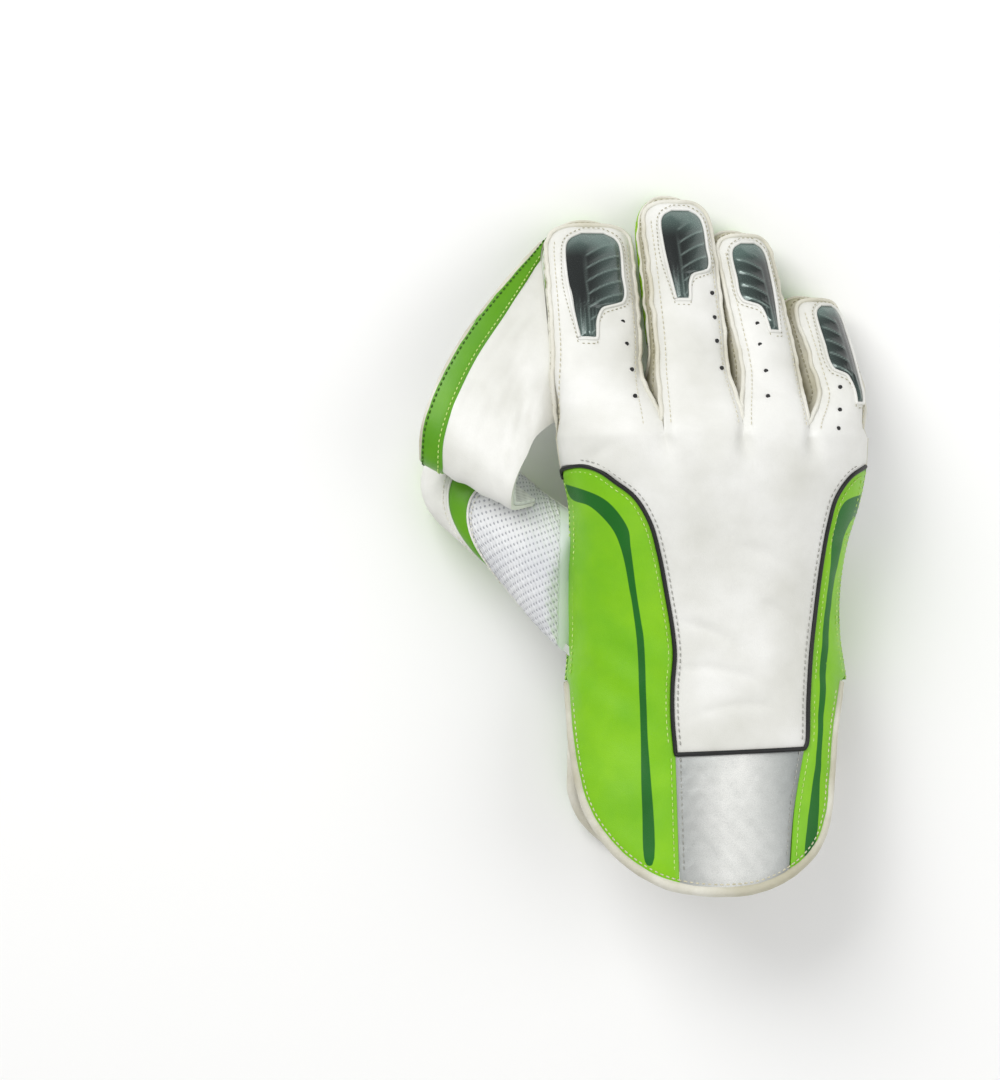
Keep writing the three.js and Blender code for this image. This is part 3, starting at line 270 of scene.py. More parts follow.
def palm_at(phi, y, depth):
    return below(palm_skin, phi, y, depth, -1)


def smooth_curve(points, per=24):
    """Centripetal Catmull-Rom through points. Returns its dense polyline."""
    p = np.asarray(points, float)
    p = np.vstack([2 * p[0] - p[1], p, 2 * p[-1] - p[-2]])
    out = []
    for i in range(1, len(p) - 2):
        a, b, c, d = p[i - 1:i + 3]
        ta = max(np.linalg.norm(b - a), 1e-6) ** 0.5
        tb = max(np.linalg.norm(c - b), 1e-6) ** 0.5
        tc = max(np.linalg.norm(d - c), 1e-6) ** 0.5
        mb = ((b - a) / ta - (c - a) / (ta + tb) + (c - b) / tb) * tb
        mc = ((c - b) / tb - (d - b) / (tb + tc) + (d - c) / tc) * tb
        t = np.linspace(0, 1, per, endpoint=False)[:, None]
        out.append((2 * t**3 - 3 * t**2 + 1) * b + (t**3 - 2 * t**2 + t) * mb + (3 * t**2 - 2 * t**3) * c
                   + (t**3 - t**2) * mc)
    return np.vstack(out + [p[-2][None]])


class Line:
    """A plan curve read by the share of its length."""

    def __init__(self, points, smooth=True):
        self.points = smooth_curve(points) if smooth else np.asarray(points, float)
        steps = np.linalg.norm(np.diff(self.points, axis=0), axis=1)
        self.reach = np.concatenate([[0], np.cumsum(steps)])
        self.length = self.reach[-1]

    def at(self, share):
        s = np.clip(share, 0, 1) * self.length
        return np.stack([np.interp(s, self.reach, column) for column in self.points.T], -1)

    def beside(self, share, offset):
        share = np.asarray(share, float)
        step = 0.4 / self.length
        run = self.at(share + step) - self.at(share - step)
        run /= np.linalg.norm(run, axis=-1, keepdims=True)
        side = np.stack([run[..., 1], -run[..., 0]], -1)
        return self.at(share) + side * np.asarray(offset)[..., None]


def in_palm(rows):
    return [(x * PALM_WIDTH, WRIST_Y + y * PALM_LENGTH) for x, y in rows]


def in_cuff(rows):
    return [(x * PALM_WIDTH, y * CUFF_LENGTH) for x, y in rows]


thumb_line = Line(in_palm(THUMB_SIDE_LINE))
little_line = Line(in_palm(LITTLE_SIDE_LINE))
back_edge = Line(in_cuff(BACK_FLAP_EDGE))
palm_edge = Line(in_cuff(PALM_FLAP_EDGE))
thumb_silver = Line(in_cuff(SILVER_THUMB_SIDE))
little_silver = Line(in_cuff(SILVER_LITTLE_SIDE))


def share_at_x(line, x):
    """Share of a flap's edge that lies at x, on its lower run."""
    share = np.linspace(0, 1, 2000)
    p = line.at(share)
    low = p[:, 1] < 0.45 * CUFF_LENGTH
    return share[low][np.argmin(np.abs(p[low, 0] - x))]


# Materials

def srgb(text):
    value = [int(text[i:i + 2], 16) / 255 for i in (0, 2, 4)]
    return [v / 12.92 if v <= 0.04045 else ((v + 0.055) / 1.055) ** 2.4 for v in value] + [1]


class Nodes:
    """A material's node tree, made a few nodes at a time."""

    def __init__(self, name):
        self.material = bpy.data.materials.new(name)
        self.material.use_nodes = True
        self.tree = self.material.node_tree
        self.shader = self.tree.nodes["Principled BSDF"]
        self.place = self.add("ShaderNodeTexCoord").outputs["Object"]

    def add(self, kind, **settings):
        node = self.tree.nodes.new(kind)
        for key, value in settings.items():
            if key.startswith("in_"):
                self.put(node.inputs[int(key[3:]) if key[3:].isdigit() else key[3:].replace("_", " ")], value)
            else:
                setattr(node, key, value)
        return node

    def put(self, socket, value):
        if isinstance(value, bpy.types.NodeSocket):
            self.tree.links.new(value, socket)
        else:
            socket.default_value = value

    def noise(self, per_metre, detail=3, rough=0.5):
        node = self.add("ShaderNodeTexNoise", in_Vector=self.place, in_Scale=per_metre, in_Detail=detail)
        node.inputs["Roughness"].default_value = rough
        return node.outputs["Fac"]

    def cells(self, per_metre):
        node = self.add("ShaderNodeTexVoronoi", feature="DISTANCE_TO_EDGE", in_Vector=self.place,
                        in_Scale=per_metre)
        return node.outputs["Distance"]

    def ramp(self, value, low, high, start=0.0, end=1.0):
        node = self.add("ShaderNodeMapRange", in_0=value, in_1=low, in_2=high, in_3=start, in_4=end)
        return node.outputs[0]

    def blend(self, factor, a, b, mode="MIX"):
        node = self.add("ShaderNodeMix", data_type="RGBA", blend_type=mode)
        self.put(node.inputs["Factor"], factor)
        self.put(node.inputs["A"], a)
        self.put(node.inputs["B"], b)
        return node.outputs["Result"]

    def math(self, operation, a, b=0.0):
        return self.add("ShaderNodeMath", operation=operation, in_0=a, in_1=b).outputs[0]

    def attribute(self, name):
        return self.add("ShaderNodeAttribute", attribute_name=name).outputs["Fac"]

    def bump(self, height, strength, distance, normal=None):
        node = self.add("ShaderNodeBump", in_Height=height, in_Strength=strength, in_Distance=distance)
        if normal is not None:
            self.put(node.inputs["Normal"], normal)
        return node.outputs["Normal"]

    def set(self, **values):
        for key, value in values.items():
            self.put(self.shader.inputs[key.replace("_", " ")], value)


def leather(name, light, dark, rough=0.5, grain=0.35, wear=0.5, stripe=None, coat=0.0):
    m = Nodes(name)
    tone = m.ramp(m.noise(28, 4), 0.35, 0.72)
    color = m.blend(tone, srgb(light), srgb(dark))
    fine = m.ramp(m.noise(900, 3, 0.6), 0.3, 0.75)
    color = m.blend(m.math("MULTIPLY", fine, 0.18 * wear), color, srgb(dark))
    # Painted shade: the colour goes toward the dark tone where the shade value is high, at seams, rolled
    # edges and between fingers; the dark colour also serves the random tone
    hollow = m.attribute("hollow")
    color = m.blend(m.math("MULTIPLY", hollow, 0.55), color, srgb(dark))
    if stripe:
        inside = m.ramp(m.attribute("stripe"), -0.12, 0.12)
        color = m.blend(inside, color, m.blend(tone, srgb(stripe[0]), srgb(stripe[1])))
    pores = m.ramp(m.cells(1500), 0.0, 0.16)
    creases = m.noise(160, 4, 0.6)
    normal = m.bump(creases, grain * 0.5, 0.0006)
    normal = m.bump(pores, grain, 0.00012, normal)
    roughness = m.ramp(m.noise(120, 3), 0.3, 0.7, rough - 0.07, rough + 0.09)
    m.set(Base_Color=color, Roughness=roughness, Normal=normal, Specular_IOR_Level=0.42)
    m.set(Coat_Weight=coat, Coat_Roughness=0.3)
    return m.material


def rubber(name, light, dark, low):
    m = Nodes(name)
    tone = m.ramp(m.noise(40, 3), 0.35, 0.7)
    color = m.blend(tone, srgb(light), srgb(dark))
    # Painted shade: darker towards the low colour in the dimples' pits and, by the shade value, near edges
    # and joins
    pit = m.ramp(m.attribute("dimple"), 0.15, 0.95, 1.0, 0.0)
    color = m.blend(m.math("MULTIPLY", pit, 0.62), color, srgb(low))
    color = m.blend(m.math("MULTIPLY", m.attribute("hollow"), 0.5), color, srgb(low))
    normal = m.bump(m.noise(2200, 2), 0.25, 0.0001)
    roughness = m.ramp(m.noise(200, 2), 0.3, 0.7, 0.62, 0.8)
    m.set(Base_Color=color, Roughness=roughness, Normal=normal, Specular_IOR_Level=0.35)
    return m.material


def silver():
    m = Nodes("silver_leather")
    tone = m.ramp(m.noise(34, 4), 0.3, 0.75)
    color = m.blend(tone, srgb("F0F0EC"), srgb("CFD1CD"))
    pores = m.ramp(m.cells(1700), 0.0, 0.2)
    # Painted highlight and shade: bright down the panel's middle, going darker grey towards its left and
    # right edges
    place_x = m.add("ShaderNodeSeparateXYZ", in_0=m.place).outputs[0]
    silver_painted_falloff = m.math("ABSOLUTE", m.math("SUBTRACT", place_x, 0.037))
    color = m.blend(m.ramp(silver_painted_falloff, 0.004, 0.027, 0.0, 0.85), color, srgb("868B8A"))
    color = m.blend(m.ramp(pores, 0, 1, 0.25, 0.0), color, srgb("808584"))
    normal = m.bump(m.noise(220, 4, 0.65), 0.22, 0.0005)
    normal = m.bump(pores, 0.3, 0.00012, normal)
    roughness = m.ramp(m.noise(700, 2), 0.3, 0.7, 0.34, 0.48)
    m.set(Base_Color=color, Metallic=0.5, Roughness=roughness, Normal=normal)
    return m.material


def moulded(name):
    m = Nodes(name)
    rib = m.attribute("rib")
    # Painted highlight: the guard's dark colour goes lighter where the highlight value is high
    tone = m.attribute("painted_sheen")
    color = m.blend(tone, srgb("121A19"), srgb("5A706A"))
    color = m.blend(m.math("MULTIPLY", rib, 0.5), color, srgb("A9BDB6"))
    fine = m.noise(1400, 2)
    m.set(Base_Color=color, Metallic=0.35, Roughness=m.ramp(fine, 0.3, 0.7, 0.2, 0.3))
    m.set(Normal=m.bump(fine, 0.1, 0.0001), Coat_Weight=0.6, Coat_Roughness=0.1)
    return m.material


def thread(name, light, dark):
    m = Nodes(name)
    twist = m.ramp(m.noise(1800, 2), 0.35, 0.65)
    color = m.blend(twist, srgb(light), srgb(dark))
    m.set(Base_Color=color, Roughness=0.75, Normal=m.bump(twist, 0.5, 0.0001))
    return m.material


def perforated(name):
    m = Nodes(name)
    wave = [m.math("COSINE", m.math("MULTIPLY", m.attribute(key), 2 * math.pi / 3.3)) for key in ("u", "v")]
    pit = m.math("MULTIPLY", wave[0], wave[1])
    open_area = m.math("SUBTRACT", 1.0, m.attribute("plain"))
    # Painted shade inside the mesh's holes: the colour goes darker grey where the hole pattern is open
    hole_shade = m.math("MULTIPLY", m.ramp(pit, -0.78, -0.45, 1.0, 0.0), open_area)
    tone = m.ramp(m.noise(45, 3), 0.35, 0.7)
    color = m.blend(tone, srgb("E9EAEB"), srgb("D2D4D8"))
    color = m.blend(m.math("MULTIPLY", m.attribute("plain"), 0.7), color, srgb("DDE5E4"))
    # Painted shade near edges and seams by the shade value
    color = m.blend(m.math("MULTIPLY", m.attribute("hollow"), 0.6), color, srgb("A2A4A8"))
    color = m.blend(m.math("MULTIPLY", hole_shade, 0.75), color, srgb("8E9098"))
    relief = m.math("MULTIPLY", m.ramp(pit, -0.9, 0.6), open_area)
    m.set(Base_Color=color, Roughness=0.6, Normal=m.bump(relief, 0.7, 0.0004))
    return m.material


WHITE = leather("white_leather", "EDEDE9", "D6D6CE", 0.46, 0.3)
CREAM = leather("cream_leather", "E6E4D9", "A8A283", 0.58, 0.4, 0.6)
SEAM = leather("seam_leather", "E8E7DE", "C9C5B0", 0.6, 0.4, 0.9)
LINING = leather("cream_inside", "DEDCD2", "B8B6A6", 0.75, 0.5, 0.9)
GREEN = leather("green_leather", "8ACA00", "6CB400", 0.42, 0.25, 0.6, ("006A06", "005A04"), 0.1)
BLACK = leather("black_piping", "1E1E1E", "0C0C0C", 0.42, 0.3)
SILVER = silver()
WHITE_RUBBER = rubber("white_rubber", "F0F1EF", "E3E4E2", "B4B6B4")
GREEN_RUBBER = rubber("green_rubber", "A0D000", "8CC400", "548E10")
GUARD_PLASTIC = moulded("guard")
MESH = perforated("white_mesh")
WHITE_THREAD = thread("thread_white", "F4F3EA", "D2D0BE")
CREAM_THREAD = thread("thread_cream", "E4DFC6", "BBB596")
GREY_THREAD = thread("thread_grey", "B9B9B2", "8B8B84")
LIME_THREAD = thread("thread_lime", "D8EE9A", "A4C850")
TAN_THREAD = thread("thread_tan", "B9B497", "8E8A6E")
DARK_THREAD = thread("thread_dark", "3F6A12", "24480A")


# Meshes

SKIN_REST = 0.4
CORD_REST = 0.05
STITCH_REST = 0.3


def to_frame(points, rest):
    """Metres in the row's frame. What would sink into the floor is flattened at a rest height over it."""
    moved = (np.asarray(points, float).reshape(-1, 3) - CENTRE) / 1000
    moved[:, 2] = np.maximum(moved[:, 2], rest / 1000)
    return moved


def make_object(name, points, faces, materials, face_material=None, attributes=None, sharp=48,
                rest=SKIN_REST):
    mesh = bpy.data.meshes.new(name)
    mesh.from_pydata(to_frame(points, rest).tolist(), [], faces)
    for key, values in (attributes or {}).items():
        layer = mesh.attributes.new(key, "FLOAT", "POINT")
        layer.data.foreach_set("value", np.asarray(values, np.float32).ravel())
    for material in materials:
        mesh.materials.append(material)
    if face_material is not None:
        mesh.polygons.foreach_set("material_index", np.asarray(face_material, np.int32))
    bm = bmesh.new()
    bm.from_mesh(mesh)
    bmesh.ops.remove_doubles(bm, verts=bm.verts, dist=2e-6)
    bmesh.ops.dissolve_degenerate(bm, edges=bm.edges, dist=1e-7)
    bmesh.ops.recalc_face_normals(bm, faces=bm.faces)
    bm.to_mesh(mesh)
    bm.free()
    mesh.polygons.foreach_set("use_smooth", np.ones(len(mesh.polygons), bool))
    mesh.set_sharp_from_angle(angle=math.radians(sharp))
    obj = bpy.data.objects.new(name, mesh)
    bpy.context.scene.collection.objects.link(obj)
    return obj


def grid_faces(rows, columns, start=0, flip=False):
    i, j = np.meshgrid(np.arange(rows - 1), np.arange(columns - 1), indexing="ij")
    a = start + i * columns + j
    quads = np.stack([a, a + 1, a + columns + 1, a + columns], -1).reshape(-1, 4)
    return quads[:, ::-1] if flip else quads


def edge_distance(grid):
    """Distance of each grid point to the grid's border, along its rows and columns."""
    def along(axis):
        steps = np.linalg.norm(np.diff(grid, axis=axis), axis=-1)
        pad = [(0, 0), (0, 0)]
        pad[axis] = (1, 0)
        run = np.cumsum(np.pad(steps, pad), axis=axis)
        total = np.take(run, [-1], axis=axis)
        return np.minimum(run, total - run)
    return along(0), along(1)


def pillow(grid, height, reach):
    """How far a padded panel stands above its edges."""
    d_rows, d_columns = edge_distance(grid)
    return height * ((1 - np.exp(-d_rows / reach)) * (1 - np.exp(-d_columns / reach)))


def waves(x, y, seed, size):
    """Soft unevenness between -1 and 1, always the same for a seed."""
    draw = np.random.default_rng(seed)
    total = np.zeros(np.broadcast(x, y).shape)
    for k in range(7):
        angle = draw.uniform(0, 2 * math.pi)
        wave = 2 * math.pi / (size * draw.uniform(0.6, 1.7))
        total += np.sin((x * math.cos(angle) + y * math.sin(angle)) * wave + draw.uniform(0, 6.3))
    return total / 4.5


def crease(x, y, ends, width):
    """Depth share of a crease along a straight run between two plan points."""
    (ax, ay), (bx, by) = ends
    length = math.hypot(bx - ax, by - ay)
    along = ((x - ax) * (bx - ax) + (y - ay) * (by - ay)) / length**2
    away = ((x - ax) * (by - ay) - (y - ay) * (bx - ax)) / length
    away = away + 0.08 * length * np.sin(along * math.pi)
    fade = smoothstep(along, -0.1, 0.25) * (1 - smoothstep(along, 0.7, 1.1))
    return fade * np.exp(-((away / width) ** 2))


def signed_inside(x, y, outline):
    """Distance to an outline in millimetres, above zero inside it."""
    p = smooth_curve(list(outline) + [outline[0]], 8)
    x, y = np.asarray(x), np.asarray(y)
    best = np.full(x.shape, 1e9)
    inside = np.zeros(x.shape, bool)
    for (ax, ay), (bx, by) in zip(p[:-1], p[1:]):
        dx, dy = bx - ax, by - ay
        t = np.clip(((x - ax) * dx + (y - ay) * dy) / max(dx * dx + dy * dy, 1e-9), 0, 1)
        best = np.minimum(best, np.hypot(x - ax - t * dx, y - ay - t * dy))
        if ay != by:
            cross = ((ay > y) != (by > y)) & (x < (bx - ax) * (y - ay) / (by - ay) + ax)
            inside ^= cross
    return np.where(inside, best, -best)


def tube(name, path, radius, material, sides=12, squash=1.0, up=None, uneven=0.0, taper=0.0):
    """A round cord along a path of points, with closed ends."""
    p = np.asarray(path, float)
    run = np.gradient(p, axis=0)
    run /= np.linalg.norm(run, axis=1, keepdims=True)
    guide = np.tile(np.array([0, 0, 1.0]), (len(p), 1)) if up is None else np.asarray(up)
    side = np.cross(run, guide)
    side /= np.maximum(np.linalg.norm(side, axis=1, keepdims=True), 1e-9)
    over = np.cross(side, run)
    angle = np.linspace(0, 2 * math.pi, sides, endpoint=False)
    reach = np.cumsum(np.linalg.norm(np.diff(p, axis=0, prepend=p[:1]), axis=1))
    r = radius * (1 + uneven * waves(reach, reach * 0, 5, 9.0))
    if taper:
        r = r * (0.15 + 0.85 * smoothstep(np.minimum(reach, reach[-1] - reach), 0, taper))
    ring = side[:, None] * np.cos(angle)[None, :, None]
    ring = ring + over[:, None] * (np.sin(angle) * squash)[None, :, None]
    points = (p[:, None] + ring * r[:, None, None]).reshape(-1, 3)
    faces = []
    for i in range(len(p) - 1):
        for j in range(sides):
            k = (j + 1) % sides
            faces.append([i * sides + j, i * sides + k, (i + 1) * sides + k, (i + 1) * sides + j])
    faces.append(list(range(sides))[::-1])
    faces.append([(len(p) - 1) * sides + j for j in range(sides)])
    return make_object(name, points, faces, [material], None, None, 60, CORD_REST)


def stitch_points(path, normals, pitch=3.0, length=2.1, radius=0.32, lift=0.12):
    """Points and faces of a row of stitches along a path on a surface."""
    p = np.array(path, float)
    p[:, 2] = np.maximum(p[:, 2], STITCH_REST)
    reach = np.concatenate([[0], np.cumsum(np.linalg.norm(np.diff(p, axis=0), axis=1))])
    count = max(int(reach[-1] / pitch), 1)
    points, faces = [], []
    profile = [(-0.5, 0.35, -0.5), (-0.3, 1.0, 0.35), (0.0, 1.0, 0.6), (0.3, 1.0, 0.35), (0.5, 0.35, -0.5)]
    for k in range(count):
        s = (k + 0.5) * pitch
        at = np.array([np.interp(s, reach, p[:, c]) for c in range(3)])
        ahead = np.array([np.interp(s + 0.6, reach, p[:, c]) for c in range(3)])
        behind = np.array([np.interp(s - 0.6, reach, p[:, c]) for c in range(3)])
        n = np.array([np.interp(s, reach, normals[:, c]) for c in range(3)])
        n /= max(np.linalg.norm(n), 1e-9)
        run = ahead - behind
        run /= max(np.linalg.norm(run), 1e-9)
        side = np.cross(run, n)
        start = len(points)
        for along, width, rise in profile:
            centre = at + run * along * length + n * (lift + rise * radius)
            for a in range(6):
                angle = a * math.pi / 3
                points.append(centre + (side * math.cos(angle) + n * math.sin(angle)) * radius * width)
        for i in range(len(profile) - 1):
            for j in range(6):
                k2 = (j + 1) % 6
                a = start + i * 6
                faces.append([a + j, a + k2, a + 6 + k2, a + 6 + j])
        faces.append([start + j for j in range(5, -1, -1)])
        faces.append([start + (len(profile) - 1) * 6 + j for j in range(6)])
    return points, faces


class Stitches:
    """Rows of stitches that make one piece."""

    def __init__(self):
        self.points, self.faces = [], []

    def row(self, path, normals, **options):
        points, faces = stitch_points(path, normals, **options)
        start = len(self.points)
        self.points += points
        self.faces += [[v + start for v in face] for face in faces]

    def make(self, name, material):
        return make_object(name, self.points, self.faces, [material], None, None, 70, CORD_REST)


def finish_piece(obj, cad):
    """Hangs a piece on the root body and hides the model's parts that it stands for."""
    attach(obj, "root")
    if cad:
        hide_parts(*cad)
    return obj


def surface_normal(grid_function, *at):
    """Direction out of a skin, from its points at two depths."""
    top, low = grid_function(*at, 0.0), grid_function(*at, 1.0)
    n = top - low
    return n / np.maximum(np.linalg.norm(n, axis=-1, keepdims=True), 1e-9)


def on_back(points, stand=0.0):
    phi = back_angle(points[..., 0], points[..., 1])
    return back_at(phi, points[..., 1], -np.asarray(stand))


def on_palm(points, stand=0.0):
    phi = palm_angle(points[..., 0], points[..., 1])
    return palm_at(phi, points[..., 1], -np.asarray(stand))


# Fingers

class Finger:
    def __init__(self, f):
        self.f = f
        self.name = f["name"]
        self.first, self.last = self.name == "index", self.name == "little"
        self.length = f["reach"] * FINGER_REACH
        self.depth = f["depth"] * FINGER_DEPTH
        self.back_half = f["back"] * FINGER_WIDTH / 2
        self.side_half = f["middle"] * FINGER_WIDTH / 2
        roll = math.radians(f["roll"])
        self.right = np.array([math.cos(roll), 0, -math.sin(roll)])
        self.up = np.array([math.sin(roll), 0, math.cos(roll)])
        self.ledge = -0.05 * self.depth
        y = KNUCKLE_Y
        self.back_phi = [
            0.14 if self.first else float(back_angle(np.array(f["back_from"] * PALM_WIDTH), y)),
            math.pi - 0.14 if self.last else float(back_angle(np.array(f["back_to"] * PALM_WIDTH), y)),
        ]
        self.palm_phi = [
            0.14 if self.first else float(palm_angle(np.array(f["palm_from"] * PALM_WIDTH), y)),
            math.pi - 0.14 if self.last else float(palm_angle(np.array(f["palm_to"] * PALM_WIDTH), y)),
        ]
        top = back_at(sum(self.back_phi) / 2, y, 0.0)
        low = palm_at(sum(self.palm_phi) / 2, y, 0.0)
        self.root = (top + low) / 2
        self.root[1] = y

    def centre(self, t):
        t = np.asarray(t, float)
        drop = FINGER_DROP * t + (1 - FINGER_DROP) * t * t
        lean = read_table(LEAN[self.name], t)[..., 1] * FINGER_WIDTH
        return np.stack([
            mix(self.root[0], self.f["tip_x"] * PALM_WIDTH, t) + lean,
            KNUCKLE_Y + self.length * t,
            mix(self.root[2], TIP_HEIGHT * FINGER_DEPTH, drop),
        ], -1)

    def place(self, t, a, b):
        return self.centre(t) + np.asarray(a)[..., None] * self.right + np.asarray(b)[..., None] * self.up

    def from_root(self, t, root_point, own):
        w = smoothstep(np.asarray(t, float), 0, ROOT_BLEND)[..., None]
        return mix(root_point + self.centre(t) - self.root, own, w)

    def narrow(self, t, part):
        start, n = TIP_START[part], TIP_SQUARENESS[part]
        s = np.clip((t - start) / (1 - start), 0, 1)
        return power(1 - power(s, n), 1 / n)

    def back_height(self, t):
        return self.depth / 2 * (1 - 0.14 * t * t)

    def back(self, t, across, stand):
        t, across, stand = same_shape(t, across, stand)
        narrow = self.narrow(t, "back")
        own = self.place(t * BACK_SHARE, across * self.back_half * narrow,
                         self.back_height(t) - BACK_DOME * self.depth * across**2 * narrow**2 + stand)
        phi = mix(self.back_phi[0], self.back_phi[1], (across + 1) / 2)
        return self.from_root(t * BACK_SHARE, back_at(phi, KNUCKLE_Y + 0 * t, -stand), own)

    def front(self, t, across, inset):
        t, across, inset = same_shape(t, across, inset)
        share = t * (1 - inset / self.length)
        angle = math.pi / 2 * across
        narrow = self.narrow(t, "side")
        belly = (self.depth / 2 + self.ledge - inset) * narrow * power(np.cos(angle), 0.75)
        own = self.place(share, (self.side_half - inset) * narrow * np.sin(angle), self.ledge - belly)
        phi = mix(self.palm_phi[0], self.palm_phi[1], (across + 1) / 2)
        point = self.from_root(share, palm_at(phi, KNUCKLE_Y + 0 * t, inset), own)
        point[..., 2] = np.maximum(point[..., 2], np.maximum(inset, 0))
        return point

    def rail(self, upper, t, side, inset):
        t = np.asarray(t, float)
        outside = self.first if side < 0 else self.last
        end = 0 if side < 0 else 1
        part = "back" if upper else "side"
        narrow = self.narrow(t, part)
        share = t * (BACK_SHARE if upper else 1) * (1 - inset / self.length)
        half = (self.back_half if upper else self.side_half) - inset
        if upper:
            b = self.back_height(t) - BACK_DOME * self.depth * narrow**2 - 0.5
        else:
            b = self.ledge + 0 * t
        skin = back_at if upper else palm_at
        phi = (self.back_phi if upper else self.palm_phi)[end]
        turned = side * inset * (4 if upper else 2) / PALM_WIDTH
        if outside:
            at_root = skin(phi + side * 0.01, KNUCKLE_Y, float(inset))
        else:
            at_root = skin(phi - turned, KNUCKLE_Y, 0.5 if upper else 0.3)
        return self.from_root(share, at_root, self.place(share, side * half * narrow, b))

    def split(self, across):
        return mix(self.f["split_left"], self.f["split_right"], (across + 1) / 2)


fingers = [Finger(f) for f in FINGERS]


# How far the middle of a finger leans to the little finger's side, shares of FINGER_WIDTH along its length
LEAN = {
    "index": np.array([[0, 0], [0.15, 0.04], [0.35, 0.12], [0.57, 0.1], [0.8, 0.06], [1, 0.04]]),
    "middle": np.array([[0, 0], [0.15, 0.05], [0.35, 0.115], [0.57, 0.11], [0.8, 0.095], [1, 0.06]]),
    "ring": np.array([[0, 0], [0.15, 0.02], [0.35, 0.05], [0.57, 0.03], [0.8, 0.01], [1, 0.0]]),
    "little": np.array([[0, 0], [0.35, -0.03], [1, -0.02]]),
}


def tip_rows(count, start, squareness, from_t=0.0, tip_share=0.3):
    """Places along a finger, even at first and then evenly round its tip."""
    tip = max(int(count * tip_share), 4)
    straight = np.linspace(from_t, start, count - tip, endpoint=False)
    angle = np.linspace(0, math.pi / 2, tip + 1)
    return np.concatenate([straight, start + (1 - start) * power(np.sin(angle), 2 / squareness)])


def clustered(count, share=0.5):
    """Places from -1 to 1, closer together at both ends."""
    c = np.linspace(-1, 1, count)
    return mix(c, np.sin(c * math.pi / 2), share)


def surface_run(grid):
    """Distances over a grid: across from its middle column, and along its middle column."""
    middle = grid.shape[1] // 2
    across = np.cumsum(np.pad(np.linalg.norm(np.diff(grid, axis=1), axis=-1), [(0, 0), (1, 0)]), axis=1)
    along = np.cumsum(np.pad(np.linalg.norm(np.diff(grid[:, middle], axis=0), axis=-1), (1, 0)))
    return across - across[:, middle:middle + 1], along[:, None] + 0 * across


DIMPLE_PITCH = 4.1
DIMPLE_DEPTH = 0.42


def dimples(u, v, pitch=DIMPLE_PITCH):
    """Height share of dimpled rubber, 0 at the bottom of a pit."""
    wave = np.cos(2 * math.pi * u / pitch) * np.cos(2 * math.pi * v / pitch)
    return 1 - power(0.5 - 0.5 * wave, 2.2)


def open_shell(name, outer, inner, material, attributes, inside, mask=None):
    """A wall with an opening where mask is false at a corner of a face."""
    rows, columns = outer.shape[:2]
    count = rows * columns
    top = grid_faces(rows, columns)
    if mask is not None:
        top = top[mask.reshape(-1)[top].all(axis=1)]
    bottom = top[:, ::-1] + count
    edges = np.concatenate([np.stack([top[:, k], top[:, (k + 1) % 4]], -1) for k in range(4)])
    keys = edges[:, 0].astype(np.int64) * count + edges[:, 1]
    back_keys = edges[:, 1].astype(np.int64) * count + edges[:, 0]
    rim = edges[~np.isin(back_keys, keys)]
    sides = np.stack([rim[:, 1], rim[:, 0], rim[:, 0] + count, rim[:, 1] + count], -1)
    faces = np.concatenate([top, bottom, sides])
    slots = np.concatenate([np.zeros(len(top), int), np.ones(len(bottom), int), np.zeros(len(sides), int)])
    points = np.concatenate([outer.reshape(-1, 3), inner.reshape(-1, 3)])
    kept = {}
    for key, values in attributes.items():
        kept[key] = np.concatenate([np.asarray(values).reshape(-1), np.zeros(count)])
    obj = make_object(name, points, faces.tolist(), [material, inside], slots, kept)
    if mask is not None:
        clean = bmesh.new()
        clean.from_mesh(obj.data)
        bmesh.ops.delete(clean, geom=[v for v in clean.verts if not v.link_faces], context="VERTS")
        clean.to_mesh(obj.data)
        clean.free()
    return obj


def joined(name, parts, material, inside, attributes):
    """One mesh from several walls, given as (outer, inner, attributes).

    The first wall's last row carries the first rows of the others.
    """
    points, faces, slots = [], [], []
    kept = {key: [] for key in attributes}
    start = 0
    for outer, inner, values in parts:
        rows, columns = outer.shape[:2]
        count = rows * columns
        points += [outer.reshape(-1, 3), inner.reshape(-1, 3)]
        top, bottom = grid_faces(rows, columns, start), grid_faces(rows, columns, start + count, True)
        ids = start + np.arange(count).reshape(rows, columns)
        border = np.concatenate([ids[0, :-1], ids[:-1, -1], ids[-1, :0:-1], ids[:0:-1, 0]])
        after = np.roll(border, -1)
        met = ids[0] if start else ids[-1, 2:-2]
        free = ~(np.isin(border, met) & np.isin(after, met))
        border, after = border[free], after[free]
        faces += [top, bottom, np.stack([after, border, border + count, after + count], -1)]
        slots += [np.zeros(len(top), int), np.ones(len(bottom), int), np.zeros(len(border), int)]
        for key in attributes:
            given = values.get(key, np.zeros((rows, columns)))
            kept[key] += [np.asarray(given).reshape(-1), np.zeros(count)]
        start += 2 * count
    kept = {key: np.concatenate(value) for key, value in kept.items()}
    return make_object(name, np.concatenate(points), np.concatenate(faces).tolist(), [material, inside],
                       np.concatenate(slots), kept)


# Back of the hand and the finger backs, one sheet of white leather

PUFF = 0.9
EDGE_ROLL = 3.0
BEND_REACH = 11
BEND_ANGLE = 0.36
EDGE_PHI = 0.004
PANEL_ROWS = 120
TOP_ROWS = 14
